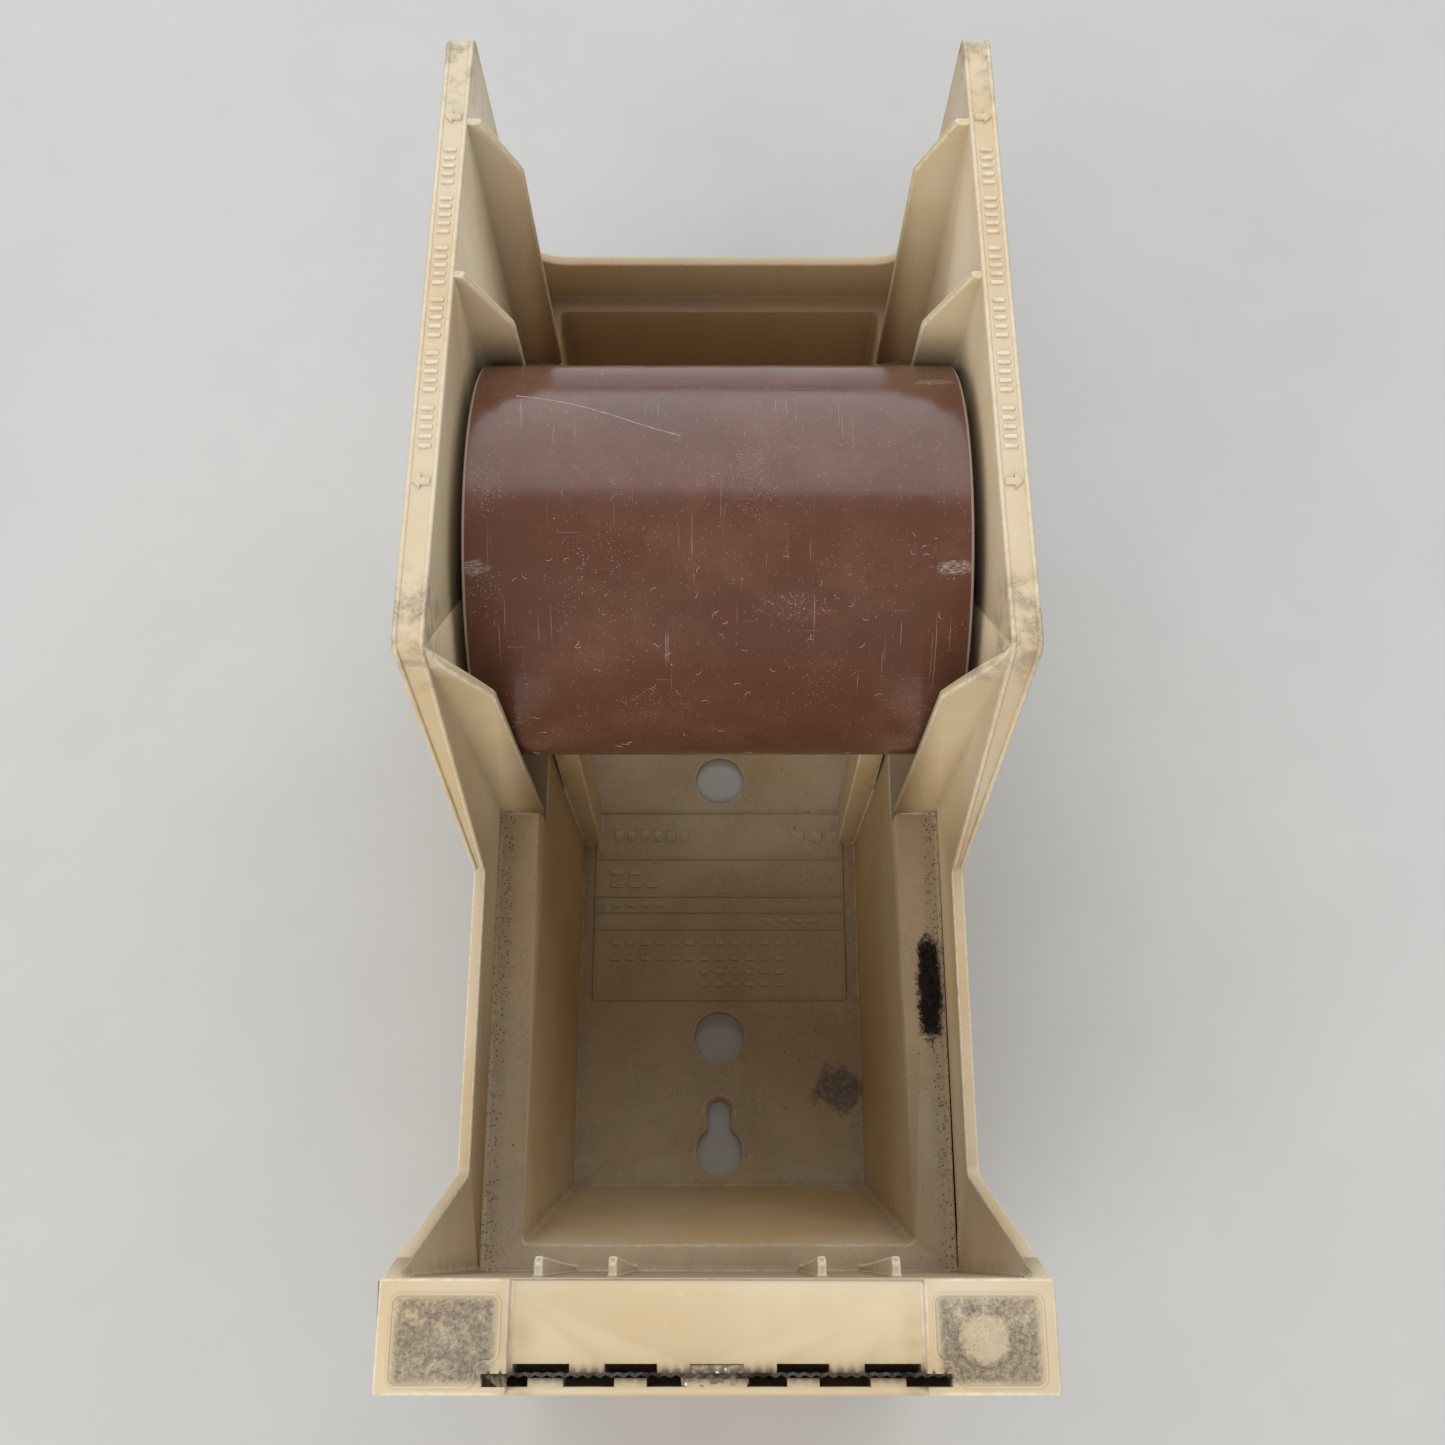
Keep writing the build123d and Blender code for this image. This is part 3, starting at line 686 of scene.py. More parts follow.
class Tree:
    """Builds one geometry node tree with named inputs."""

    def __init__(self, name: str, inputs: dict[str, str]) -> None:
        """Starts a tree.

        Args:
            name: The tree's name.
            inputs: Socket type of each named input.
        """
        self.group = bpy.data.node_groups.new(name, "GeometryNodeTree")
        face = self.group.interface
        face.new_socket("Geometry", in_out="INPUT", socket_type="NodeSocketGeometry")
        self.identifiers = {
            key: face.new_socket(key, in_out="INPUT", socket_type=kind).identifier
            for key, kind in inputs.items()
        }
        face.new_socket("Geometry", in_out="OUTPUT", socket_type="NodeSocketGeometry")
        self.entry = self.group.nodes.new("NodeGroupInput")

    def add(
        self, kind: str, sockets: dict[object, object] | None = None, **properties: object
    ) -> bpy.types.Node:
        """Adds a node, sets its properties and feeds its sockets.

        Args:
            kind: The node's type name.
            sockets: Value or source socket for each input, by name or index.
            properties: Values for the node's own properties.

        Returns:
            The new node.
        """
        made = self.group.nodes.new(kind)
        for key, value in properties.items():
            setattr(made, key, value)
        for key, value in (sockets or {}).items():
            if isinstance(value, bpy.types.NodeSocket):
                self.group.links.new(value, made.inputs[key])
            else:
                made.inputs[key].default_value = value
        return made

    def given(self, key: str) -> bpy.types.NodeSocket:
        """The tree's own input of that name."""
        return self.entry.outputs[key]

    def math(self, operation: str, *values: object) -> bpy.types.NodeSocket:
        """Result of a Math node on one or two values."""
        return self.add("ShaderNodeMath", dict(enumerate(values)), operation=operation).outputs[0]

    def random(self, low: object, high: object, vector: bool = False) -> bpy.types.NodeSocket:
        """A value or a vector for each point between two limits, drawn with the tree's Seed."""
        first, kind = (0, "FLOAT_VECTOR") if vector else (2, "FLOAT")
        sockets = {first: low, first + 1: high, "Seed": self.given("Seed")}
        return self.add("FunctionNodeRandomValue", sockets, data_type=kind).outputs[0 if vector else 1]

    def end(self, geometry: bpy.types.NodeSocket) -> None:
        """Realizes, dresses and puts out the geometry."""
        real = self.add("GeometryNodeRealizeInstances", {"Geometry": geometry})
        sockets = {"Geometry": real.outputs[0], "Material": self.given("Material")}
        dressed = self.add("GeometryNodeSetMaterial", sockets)
        output = self.group.nodes.new("NodeGroupOutput")
        self.group.links.new(dressed.outputs[0], output.inputs[0])

    def grow(
        self, name: str, values: dict[str, object], seed: bpy.types.Mesh | None = None
    ) -> bpy.types.Object:
        """Runs the tree on a mesh and keeps the result as a plain mesh.

        Args:
            name: The new piece's name.
            values: Value of each named input.
            seed: The mesh that the tree starts from, or None for a single point.

        Returns:
            The new object, at the origin and with no modifier.
        """
        host = show(name, seed or polyline(name, [(0, 0, 0)]))
        modifier = host.modifiers.new("grow", "NODES")
        modifier.node_group = self.group
        for key, value in values.items():
            modifier[self.identifiers[key]] = value
        return flatten(host)


def show(
    name: str, shape: bpy.types.Mesh | bmesh.types.BMesh, finish: bpy.types.Material | None = None
) -> bpy.types.Object:
    """Puts a shape in the scene, at the origin and unscaled.

    Args:
        name: The new piece's name.
        shape: Its mesh, or a working mesh that is then freed.
        finish: Its material, or None if it has one or gets it later.

    Returns:
        The new object.
    """
    mesh = shape
    if isinstance(shape, bmesh.types.BMesh):
        mesh = bpy.data.meshes.new(name)
        shape.to_mesh(mesh)
        shape.free()
    if finish is not None:
        mesh.materials.append(finish)
    piece = bpy.data.objects.new(name, mesh)
    bpy.context.scene.collection.objects.link(piece)
    return piece


def flatten(host: bpy.types.Object) -> bpy.types.Object:
    """Turns an object's evaluated shape into its own plain mesh and removes its modifiers."""
    bpy.context.view_layer.update()
    evaluated = host.evaluated_get(bpy.context.evaluated_depsgraph_get())
    mesh = bpy.data.meshes.new_from_object(evaluated)
    mesh.name = host.name
    host.modifiers.clear()
    host.data = mesh
    return host


def polyline(name: str, points: list[Point], closed: bool = False) -> bpy.types.Mesh:
    """Mesh of edges through points given in millimetres."""
    edges = [(index, index + 1) for index in range(len(points) - 1)]
    if closed:
        edges.append((len(points) - 1, 0))
    mesh = bpy.data.meshes.new(name)
    mesh.from_pydata([Vector(point) * MM for point in points], edges, [])
    return mesh


def bead_tree() -> Tree:
    """Tree that sweeps a round bead along edges, with rounded turns."""
    tree = Tree(
        "bead",
        {"Radius": "NodeSocketFloat", "Turn": "NodeSocketFloat", "Material": "NodeSocketMaterial"},
    )
    curve = tree.add("GeometryNodeMeshToCurve", {"Mesh": tree.given("Geometry")})
    turned = tree.add(
        "GeometryNodeFilletCurve",
        {"Curve": curve.outputs[0], "Radius": tree.given("Turn"), "Limit Radius": True, "Count": 6},
        mode="POLY",
    )
    ring = tree.add("GeometryNodeCurvePrimitiveCircle", {"Resolution": 10, "Radius": tree.given("Radius")})
    swept = tree.add(
        "GeometryNodeCurveToMesh",
        {"Curve": turned.outputs[0], "Profile Curve": ring.outputs[0], "Fill Caps": True},
    )
    tree.end(swept.outputs[0])
    return tree


def bead_along(
    tree: Tree,
    name: str,
    points: list[Point],
    radius: float,
    finish: bpy.types.Material,
    turn: float = 0.0,
    closed: bool = False,
) -> bpy.types.Object:
    """A round bead through points given in millimetres.

    Args:
        tree: The tree from bead_tree.
        name: The new piece's name.
        points: The places that the bead passes.
        radius: Its radius in millimetres.
        finish: Its material.
        turn: Radius of its turns in millimetres.
        closed: Whether it runs on to the first point.

    Returns:
        The new object.
    """
    values = {"Radius": radius * MM, "Turn": turn * MM, "Material": finish}
    return tree.grow(name, values, polyline(name, points, closed))


def bars_tree() -> Tree:
    """Tree that sets low rounded bars in groups along a line."""
    tree = Tree(
        "bars",
        {
            "Bar": "NodeSocketVector",
            "Count": "NodeSocketInt",
            "Step": "NodeSocketVector",
            "Groups": "NodeSocketInt",
            "Group Step": "NodeSocketVector",
            "Start": "NodeSocketVector",
            "Slope": "NodeSocketVector",
            "Material": "NodeSocketMaterial",
        },
    )
    cube = tree.add("GeometryNodeMeshCube", {"Size": (1.0, 1.0, 1.0)})
    smooth = tree.add(
        "GeometryNodeSubdivisionSurface", {"Mesh": cube.outputs[0], "Level": 1, "Edge Crease": 0.7}
    )
    bar = tree.add(
        "GeometryNodeTransform",
        {"Geometry": smooth.outputs[0], "Scale": tree.given("Bar"), "Rotation": tree.given("Slope")},
    )
    row = tree.add(
        "GeometryNodeMeshLine",
        {"Count": tree.given("Count"), "Offset": tree.given("Step"), "Start Location": tree.given("Start")},
    )
    shown = tree.add("GeometryNodeInstanceOnPoints", {"Points": row.outputs[0], "Instance": bar.outputs[0]})
    groups = tree.add(
        "GeometryNodeMeshLine", {"Count": tree.given("Groups"), "Offset": tree.given("Group Step")}
    )
    repeated = tree.add(
        "GeometryNodeInstanceOnPoints", {"Points": groups.outputs[0], "Instance": shown.outputs[0]}
    )
    tree.end(repeated.outputs[0])
    return tree


def stipple_tree() -> Tree:
    """Tree that covers a panel with small uneven domes, except a notch at its front inner corner."""
    tree = Tree(
        "stipple",
        {
            "Size": "NodeSocketVector",
            "Pitch": "NodeSocketFloat",
            "Dome": "NodeSocketFloat",
            "Middle": "NodeSocketVector",
            "Notch": "NodeSocketVector",
            "Seed": "NodeSocketInt",
            "Material": "NodeSocketMaterial",
        },
    )
    size_x, size_y, _ = tree.add("ShaderNodeSeparateXYZ", {0: tree.given("Size")}).outputs
    grid = tree.add(
        "GeometryNodeMeshGrid",
        {
            "Size X": size_x,
            "Size Y": size_y,
            "Vertices X": tree.math("DIVIDE", size_x, tree.given("Pitch")),
            "Vertices Y": tree.math("DIVIDE", size_y, tree.given("Pitch")),
        },
    )
    reach = tree.math("MULTIPLY", tree.given("Pitch"), 0.35)
    spread = tree.add("ShaderNodeCombineXYZ", {0: reach, 1: reach})
    less = tree.add("ShaderNodeVectorMath", {0: spread.outputs[0], "Scale": -1.0}, operation="SCALE")
    jitter = tree.random(less.outputs[0], spread.outputs[0], vector=True)
    moved = tree.add("GeometryNodeSetPosition", {"Geometry": grid.outputs[0], "Offset": jitter})
    placed = tree.add(
        "GeometryNodeTransform", {"Geometry": moved.outputs[0], "Translation": tree.given("Middle")}
    )
    spot = tree.add("ShaderNodeSeparateXYZ", {0: tree.add("GeometryNodeInputPosition").outputs[0]})
    notch = tree.add("ShaderNodeSeparateXYZ", {0: tree.given("Notch")})
    inward = tree.math("LESS_THAN", tree.math("ABSOLUTE", spot.outputs[0]), notch.outputs[0])
    forward = tree.math("LESS_THAN", spot.outputs[1], notch.outputs[1])
    kept = tree.add(
        "GeometryNodeDeleteGeometry",
        {"Geometry": placed.outputs[0], "Selection": tree.math("MULTIPLY", inward, forward)},
        domain="POINT",
    )
    dome = tree.add("GeometryNodeMeshIcoSphere", {"Radius": tree.given("Dome"), "Subdivisions": 1})
    shown = tree.add(
        "GeometryNodeInstanceOnPoints",
        {"Points": kept.outputs[0], "Instance": dome.outputs[0], "Scale": tree.random(0.55, 1.0)},
    )
    tree.end(shown.outputs[0])
    return tree


def teeth_tree() -> Tree:
    """Tree that repeats one tooth in a row and joins the row."""
    tree = Tree(
        "teeth",
        {"Count": "NodeSocketInt", "Step": "NodeSocketVector", "Material": "NodeSocketMaterial"},
    )
    row = tree.add("GeometryNodeMeshLine", {"Count": tree.given("Count"), "Offset": tree.given("Step")})
    shown = tree.add(
        "GeometryNodeInstanceOnPoints", {"Points": row.outputs[0], "Instance": tree.given("Geometry")}
    )
    real = tree.add("GeometryNodeRealizeInstances", {"Geometry": shown.outputs[0]})
    joined = tree.add("GeometryNodeMergeByDistance", {"Geometry": real.outputs[0], "Distance": 1e-6})
    tree.end(joined.outputs[0])
    return tree


def fibre_tree() -> Tree:
    """Tree that scatters short bent fibres in a box, then turns each about a line along X."""
    tree = Tree(
        "fibres",
        {
            "Count": "NodeSocketInt",
            "Low": "NodeSocketVector",
            "High": "NodeSocketVector",
            "Length": "NodeSocketFloat",
            "Radius": "NodeSocketFloat",
            "Tilt": "NodeSocketFloat",
            "Axis Place": "NodeSocketVector",
            "Turn Low": "NodeSocketFloat",
            "Turn High": "NodeSocketFloat",
            "Seed": "NodeSocketInt",
            "Material": "NodeSocketMaterial",
        },
    )
    line = tree.add("GeometryNodeMeshLine", {"Count": tree.given("Count"), "Offset": (0.0, 0.0, 0.0)})
    place = tree.random(tree.given("Low"), tree.given("High"), vector=True)
    spread = tree.add("GeometryNodeSetPosition", {"Geometry": line.outputs[0], "Offset": place})
    bend = tree.add(
        "GeometryNodeCurvePrimitiveBezierSegment",
        {
            "Resolution": 4,
            "Start": (-0.5, 0.0, 0.0),
            "Start Handle": (-0.2, 0.28, 0.0),
            "End Handle": (0.2, 0.22, 0.0),
            "End": (0.5, -0.05, 0.0),
        },
    )
    sized = tree.add("ShaderNodeCombineXYZ", {index: tree.given("Length") for index in range(3)})
    scaled = tree.add("GeometryNodeTransform", {"Geometry": bend.outputs[0], "Scale": sized.outputs[0]})
    ring = tree.add("GeometryNodeCurvePrimitiveCircle", {"Resolution": 4, "Radius": tree.given("Radius")})
    fibre = tree.add(
        "GeometryNodeCurveToMesh",
        {"Curve": scaled.outputs[0], "Profile Curve": ring.outputs[0], "Fill Caps": True},
    )
    tilt = tree.given("Tilt")
    lean = tree.math("MULTIPLY", tilt, -1.0)
    lowest = tree.add("ShaderNodeCombineXYZ", {0: lean, 1: lean, 2: -math.pi})
    highest = tree.add("ShaderNodeCombineXYZ", {0: tilt, 1: tilt, 2: math.pi})
    shown = tree.add(
        "GeometryNodeInstanceOnPoints",
        {
            "Points": spread.outputs[0],
            "Instance": fibre.outputs[0],
            "Rotation": tree.random(lowest.outputs[0], highest.outputs[0], vector=True),
            "Scale": tree.random(0.35, 1.0),
        },
    )
    angle = tree.random(tree.given("Turn Low"), tree.given("Turn High"))
    about = tree.add("ShaderNodeCombineXYZ", {0: angle})
    wrapped = tree.add(
        "GeometryNodeRotateInstances",
        {
            "Instances": shown.outputs[0],
            "Rotation": about.outputs[0],
            "Pivot Point": tree.given("Axis Place"),
            "Local Space": False,
        },
    )
    tree.end(wrapped.outputs[0])
    return tree


def mark_wear_and_highlight(piece: bpy.types.Object, amount: float) -> bpy.types.Object:
    """Notes on a piece's faces how far they are rubbed pale and painted with highlight."""
    layer = piece.data.attributes.new(WEAR_AND_HIGHLIGHT, "FLOAT", "FACE")
    layer.data.foreach_set("value", [amount] * len(piece.data.polygons))
    return piece


# ---- Pieces ------------------------------------------------------------------------------------------


def settle(
    piece: bpy.types.Object, body: Body = Body.DISPENSER, smooth: float = 50.0
) -> bpy.types.Object:
    """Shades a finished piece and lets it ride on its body.

    Args:
        piece: The piece, with its material.
        body: The body it rides on.
        smooth: Angle in degrees over which an edge stays sharp.

    Returns:
        The same piece.
    """
    piece.data.shade_smooth()
    piece.data.set_sharp_from_angle(angle=math.radians(smooth))
    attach(piece, body.value)
    LOG.info("%s: %d faces on %s", piece.name, len(piece.data.polygons), body.value)
    return piece


@dataclass
class MouldedBody:
    """The one-piece body, with rounded edges and its small raised details. Sizes in millimetres.

    A row of the floor panel is its first bar's x and y, a bar's length and depth, the step from bar to
    bar and the number of bars.
    """

    edge_round: float = 0.40
    sharp_angle: float = 28.0
    flat_area: float = 70.0
    blade_margin: float = 2.0
    ring_radius: float = 4.2
    ring_corners: int = 40
    pad_notch: tuple[float, float] = (34.7, -117.5)
    stipple_inset: float = 1.6
    stipple_pitch: float = 0.55
    stipple_radius: float = 0.22
    fluff_place: tuple[float, float] = (42.4, -49.5)
    fluff_reach: tuple[float, float] = (1.5, 9.0)
    fluff_count: int = 340
    bead_radius: float = 0.5
    bead_sunk: float = 0.22
    rim_turn: float = 2.6
    rim_bar: Point = (2.7, 0.95, 0.75)
    bar_count: int = 5
    bar_pitch: float = 1.9
    group_count: int = 6
    group_pitch: float = 11.4
    bars_from: float = 26.5
    arrow_places: tuple[float, float] = (19.5, 99.0)
    arrow_size: tuple[float, float, float, float] = (1.6, 0.1, 1.5, 0.7)
    arrow_height: float = 0.62
    panel_half: float = 31.8
    panel_front: float = -36.1
    panel_rear: float = 13.2
    panel_lines: tuple[float, ...] = (0.6, -9.3, -13.5, -18.0)
    line_radius: float = 0.42
    panel_bar_height: float = 0.8
    panel_rows: tuple[tuple[float, float, float, float, float, int], ...] = (
        (-26.2, 6.8, 2.5, 3.8, 3.4, 6),
        (20.6, 6.8, 3.6, 4.0, 4.7, 3),
        (-26.5, -3.0, 3.6, 1.7, 4.6, 2),
        (-26.5, -6.4, 3.6, 1.7, 4.6, 3),
        (-26.5, -11.6, 2.8, 1.4, 3.8, 4),
        (12.5, -15.8, 2.8, 1.4, 3.8, 4),
        (-26.5, -21.6, 2.8, 1.4, 3.8, 13),
        (-26.5, -25.6, 2.8, 1.4, 3.8, 12),
        (-3.7, -29.0, 2.8, 1.4, 3.8, 6),
        (-3.7, -32.2, 2.8, 1.4, 3.8, 6),
    )

    def __post_init__(self) -> None:
        """Makes the finish and the trees once."""
        self.finish = MouldedPlastic().make()
        self.bead = bead_tree()
        self.bars = bars_tree()
        self.stipple = stipple_tree()

    def shell(self) -> bpy.types.Object:
        """The moulding itself: the CAD solid with its sharp edges rounded."""
        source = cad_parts["body"]
        shape = bmesh.new()
        shape.from_mesh(source.data)
        bmesh.ops.remove_doubles(shape, verts=shape.verts, dist=2e-6)
        bmesh.ops.dissolve_limit(shape, angle_limit=math.radians(0.8), verts=shape.verts, edges=shape.edges)
        reach = self.edge_round * MM
        least = math.radians(self.sharp_angle)
        sharp = {e for e in shape.edges if len(e.link_faces) == 2 and e.calc_face_angle(0.0) > least}
        edges = [
            e for e in sharp
            if not all(self.at_blade(v.co) for v in e.verts)
            and all(self.has_room(e, v, sharp, reach) for v in e.verts)
        ]
        worn_and_highlight = shape.faces.layers.float.new(WEAR_AND_HIGHLIGHT)
        for face in shape.faces:
            turns = [math.degrees(e.calc_face_angle(0.0)) for e in face.edges if len(e.link_faces) == 2]
            curved = any(2.0 < turn < self.sharp_angle for turn in turns)
            face.smooth = curved and face.calc_area() < self.flat_area * MM * MM
        result = bmesh.ops.bevel(
            shape, geom=edges, offset=reach, offset_type="OFFSET", segments=2, profile=0.5,
            affect="EDGES", clamp_overlap=False,
        )
        # The rounded faces are fully pale: edge rubbing and painted highlight.
        for face in result["faces"]:
            face[worn_and_highlight] = 1.0
            face.smooth = True
        bmesh.ops.triangulate(shape, faces=[f for f in shape.faces if len(f.verts) > 4])
        piece = show("body_moulding", shape, self.finish)
        piece.data.set_sharp_from_angle(angle=math.radians(50))
        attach(piece, Body.DISPENSER.value)
        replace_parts(piece, "body")
        LOG.info("body_moulding: %d faces, %d rounded edges", len(piece.data.polygons), len(edges))
        return piece

    def at_blade(self, place: Vector) -> bool:
        """Whether a place lies in the narrow windows beside the blade."""
        low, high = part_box("blade")
        margin = self.blade_margin * MM
        return low.y - margin < place.y < high.y + margin and place.z > low.z - margin / 2

    @staticmethod
    def has_room(edge: bmesh.types.BMEdge, end: bmesh.types.BMVert, sharp: set, reach: float) -> bool:
        """Whether a sharp edge can be rounded at one of its ends.

        Args:
            edge: The edge.
            end: One of its two vertices.
            sharp: All sharp edges.
            reach: The size of the round.

        Returns:
            True if every edge that the round slides along is long enough.
        """
        run = (edge.other_vert(end).co - end.co).normalized()
        for other in end.link_edges:
            if other is edge:
                continue
            way = (other.other_vert(end).co - end.co).normalized()
            follows = other in sharp and run.dot(way) < -0.6
            if not follows and other.calc_length() < 1.3 * reach:
                return False
        return True

    def rim_point(self, side: Side, place: tuple[float, float], across: float) -> Point:
        """Point on the rim's top, so far out from the wall's inner face."""
        y, z = place
        return (side.value * (MOULDING.inner_half(z) + across), y, z)

    def rim_beads(self, side: Side) -> list[bpy.types.Object]:
        """The two raised lines along the edges of one rim."""
        m = MOULDING
        pieces = []
        for label, share in (("inner", 0.0), ("outer", 1.0)):
            inset = self.bead_radius * (1 - 2 * share)
            points = [
                self.rim_point(side, m.neck_rear, share * m.wall + inset),
                self.rim_point(side, m.rim_corner, share * m.rim_width + inset),
                self.rim_point(side, m.rim_tip, share * m.rim_width + inset),
                self.rim_point(side, m.rear_edge_low, share * m.wall + inset),
            ]
            lowered = [(x, y, z - self.bead_sunk) for x, y, z in points]
            name = f"rim_bead_{label}_{side.name.lower()}"
            piece = bead_along(self.bead, name, lowered, self.bead_radius, self.finish, self.rim_turn)
            pieces.append(settle(mark_wear_and_highlight(piece, 0.5)))
        return pieces

    def rim_bars(self, side: Side) -> bpy.types.Object:
        """Plain raised bars in groups along one rim."""
        m = MOULDING
        start = self.rim_point(side, (self.bars_from, m.rim_z(self.bars_from)), m.rim_width / 2)
        step = Vector((0.0, 1.0, m.rim_fall))
        name = f"rim_bars_{side.name.lower()}"
        values = {
            "Bar": Vector(self.rim_bar) * MM,
            "Count": self.bar_count,
            "Step": step * self.bar_pitch * MM,
            "Groups": self.group_count,
            "Group Step": step * self.group_pitch * MM,
            "Start": Vector(start) * MM,
            "Slope": (math.atan(m.rim_fall), 0.0, 0.0),
            "Material": self.finish,
        }
        return settle(mark_wear_and_highlight(self.bars.grow(name, values), 0.7))

    def arrow(self, side: Side, place: float, index: int) -> bpy.types.Object:
        """A raised arrow on one rim that points outwards."""
        m = MOULDING
        centre = self.rim_point(side, (place, m.rim_z(place)), m.rim_width / 2)
        tip, neck, half_head, half_stem = self.arrow_size
        outline = [
            (tip, 0.0), (neck, half_head), (neck, half_stem), (-half_head, half_stem),
            (-half_head, -half_stem), (neck, -half_stem), (neck, -half_head),
        ]
        shape = bmesh.new()
        corners = [
            shape.verts.new(Vector((centre[0] + side.value * u, centre[1] + v, centre[2] - 0.2)) * MM)
            for u, v in outline
        ]
        face = shape.faces.new(corners)
        raised = bmesh.ops.extrude_face_region(shape, geom=[face])
        lifted = [item for item in raised["geom"] if isinstance(item, bmesh.types.BMVert)]
        bmesh.ops.translate(shape, verts=lifted, vec=(0, 0, self.arrow_height * MM))
        bmesh.ops.recalc_face_normals(shape, faces=shape.faces)
        top = [e for e in shape.edges if all(v in lifted for v in e.verts)]
        bmesh.ops.bevel(shape, geom=top, offset=0.14 * MM, segments=2, profile=0.5, affect="EDGES")
        return settle(show(f"rim_arrow_{side.name.lower()}_{index}", shape, self.finish))

    def pad(self, side: Side) -> list[bpy.types.Object]:
        """The raised border and the stippled panel of one thumb pad."""
        m = MOULDING
        notch_x, notch_y = self.pad_notch
        around = (
            (m.pad_inner, notch_y), (notch_x, notch_y), (notch_x, m.pad_front),
            (m.pad_outer, m.pad_front), (m.pad_outer, m.pad_rear), (m.pad_inner, m.pad_rear),
        )
        corners = [(side.value * x, y, m.pad_top - 0.1) for x, y in around]
        label = side.name.lower()
        border = bead_along(
            self.bead, f"pad_border_{label}", corners, 0.30, self.finish, turn=1.4, closed=True
        )
        middle_x, middle_y = m.pad_middle
        half_x, half_y = m.pad_half
        size = Vector((2 * half_x - self.stipple_inset, 2 * half_y - self.stipple_inset, 0))
        values = {
            "Size": size * MM,
            "Pitch": self.stipple_pitch * MM,
            "Dome": self.stipple_radius * MM,
            "Middle": Vector((side.value * middle_x, middle_y, m.pad_top - 0.08)) * MM,
            "Notch": Vector((notch_x, notch_y, 0)) * MM,
            "Seed": 3 + side.value,
            "Material": self.finish,
        }
        dots = self.stipple.grow(f"pad_stipple_{label}", values)
        return [settle(border), settle(dots)]

    def thumb_ring(self) -> bpy.types.Object:
        """The faint raised ring that the mould left on the right-hand pad."""
        m = MOULDING
        around = []
        for turn in range(self.ring_corners):
            angle = 2 * math.pi * turn / self.ring_corners
            x, y = self.ring_radius * math.cos(angle), self.ring_radius * math.sin(angle)
            around.append((m.thumb_x + x, m.thumb_y + y, m.pad_top))
        return settle(bead_along(self.bead, "thumb_ring", around, 0.16, self.finish, closed=True))

    def panel(self) -> list[bpy.types.Object]:
        """The raised outline, rules and plain bars of the panel on the tub's floor."""
        m = MOULDING
        half, height = self.panel_half, m.floor_top
        frame_points = [
            (-half, self.panel_front, height), (half, self.panel_front, height),
            (half, self.panel_rear, height), (-half, self.panel_rear, height),
        ]
        runs = [("outline", frame_points, True)]
        for index, y in enumerate(self.panel_lines):
            runs.append((f"rule_{index}", [(-half, y, height), (half, y, height)], False))
        pieces = []
        for label, points, closed in runs:
            name = f"panel_{label}"
            piece = bead_along(self.bead, name, points, self.line_radius, self.finish, 0.8, closed)
            pieces.append(settle(piece))
        for index, (x, y, length, depth, pitch, groups) in enumerate(self.panel_rows):
            values = {
                "Bar": Vector((length, depth, self.panel_bar_height)) * MM,
                "Count": 1,
                "Step": Vector((1, 0, 0)) * MM,
                "Groups": groups,
                "Group Step": Vector((pitch, 0, 0)) * MM,
                "Start": Vector((x, y, height)) * MM,
                "Slope": (0.0, 0.0, 0.0),
                "Material": self.finish,
            }
            piece = self.bars.grow(f"panel_bars_{index}", values)
            pieces.append(settle(mark_wear_and_highlight(piece, 0.35)))
        return pieces

    def fluff(self) -> bpy.types.Object:
        """The dark fluff that clings to the right-hand ledge."""
        x, y = self.fluff_place
        half_x, half_y = self.fluff_reach
        height = MOULDING.ledge_height
        values = {
            "Count": self.fluff_count,
            "Low": Vector((x - half_x, y - half_y, height + 0.05)) * MM,
            "High": Vector((x + half_x, y + half_y, height + 0.75)) * MM,
            "Length": 3.0 * MM,
            "Radius": 0.075 * MM,
            "Tilt": 0.35,
            "Axis Place": (0.0, 0.0, 0.0),
            "Turn Low": 0.0,
            "Turn High": 0.0,
            "Seed": 11,
            "Material": Lint("dark_fluff", (0.012, 0.009, 0.009), (0.045, 0.030, 0.028)).make(),
        }
        return settle(fibre_tree().grow("ledge_fluff", values))

    def build(self) -> None:
        """Builds the shell and all that is moulded on it."""
        self.shell()
        for side in Side:
            self.rim_beads(side)
            self.rim_bars(side)
            self.pad(side)
            for index, place in enumerate(self.arrow_places):
                self.arrow(side, place, index)
        self.thumb_ring()
        self.panel()
        self.fluff()


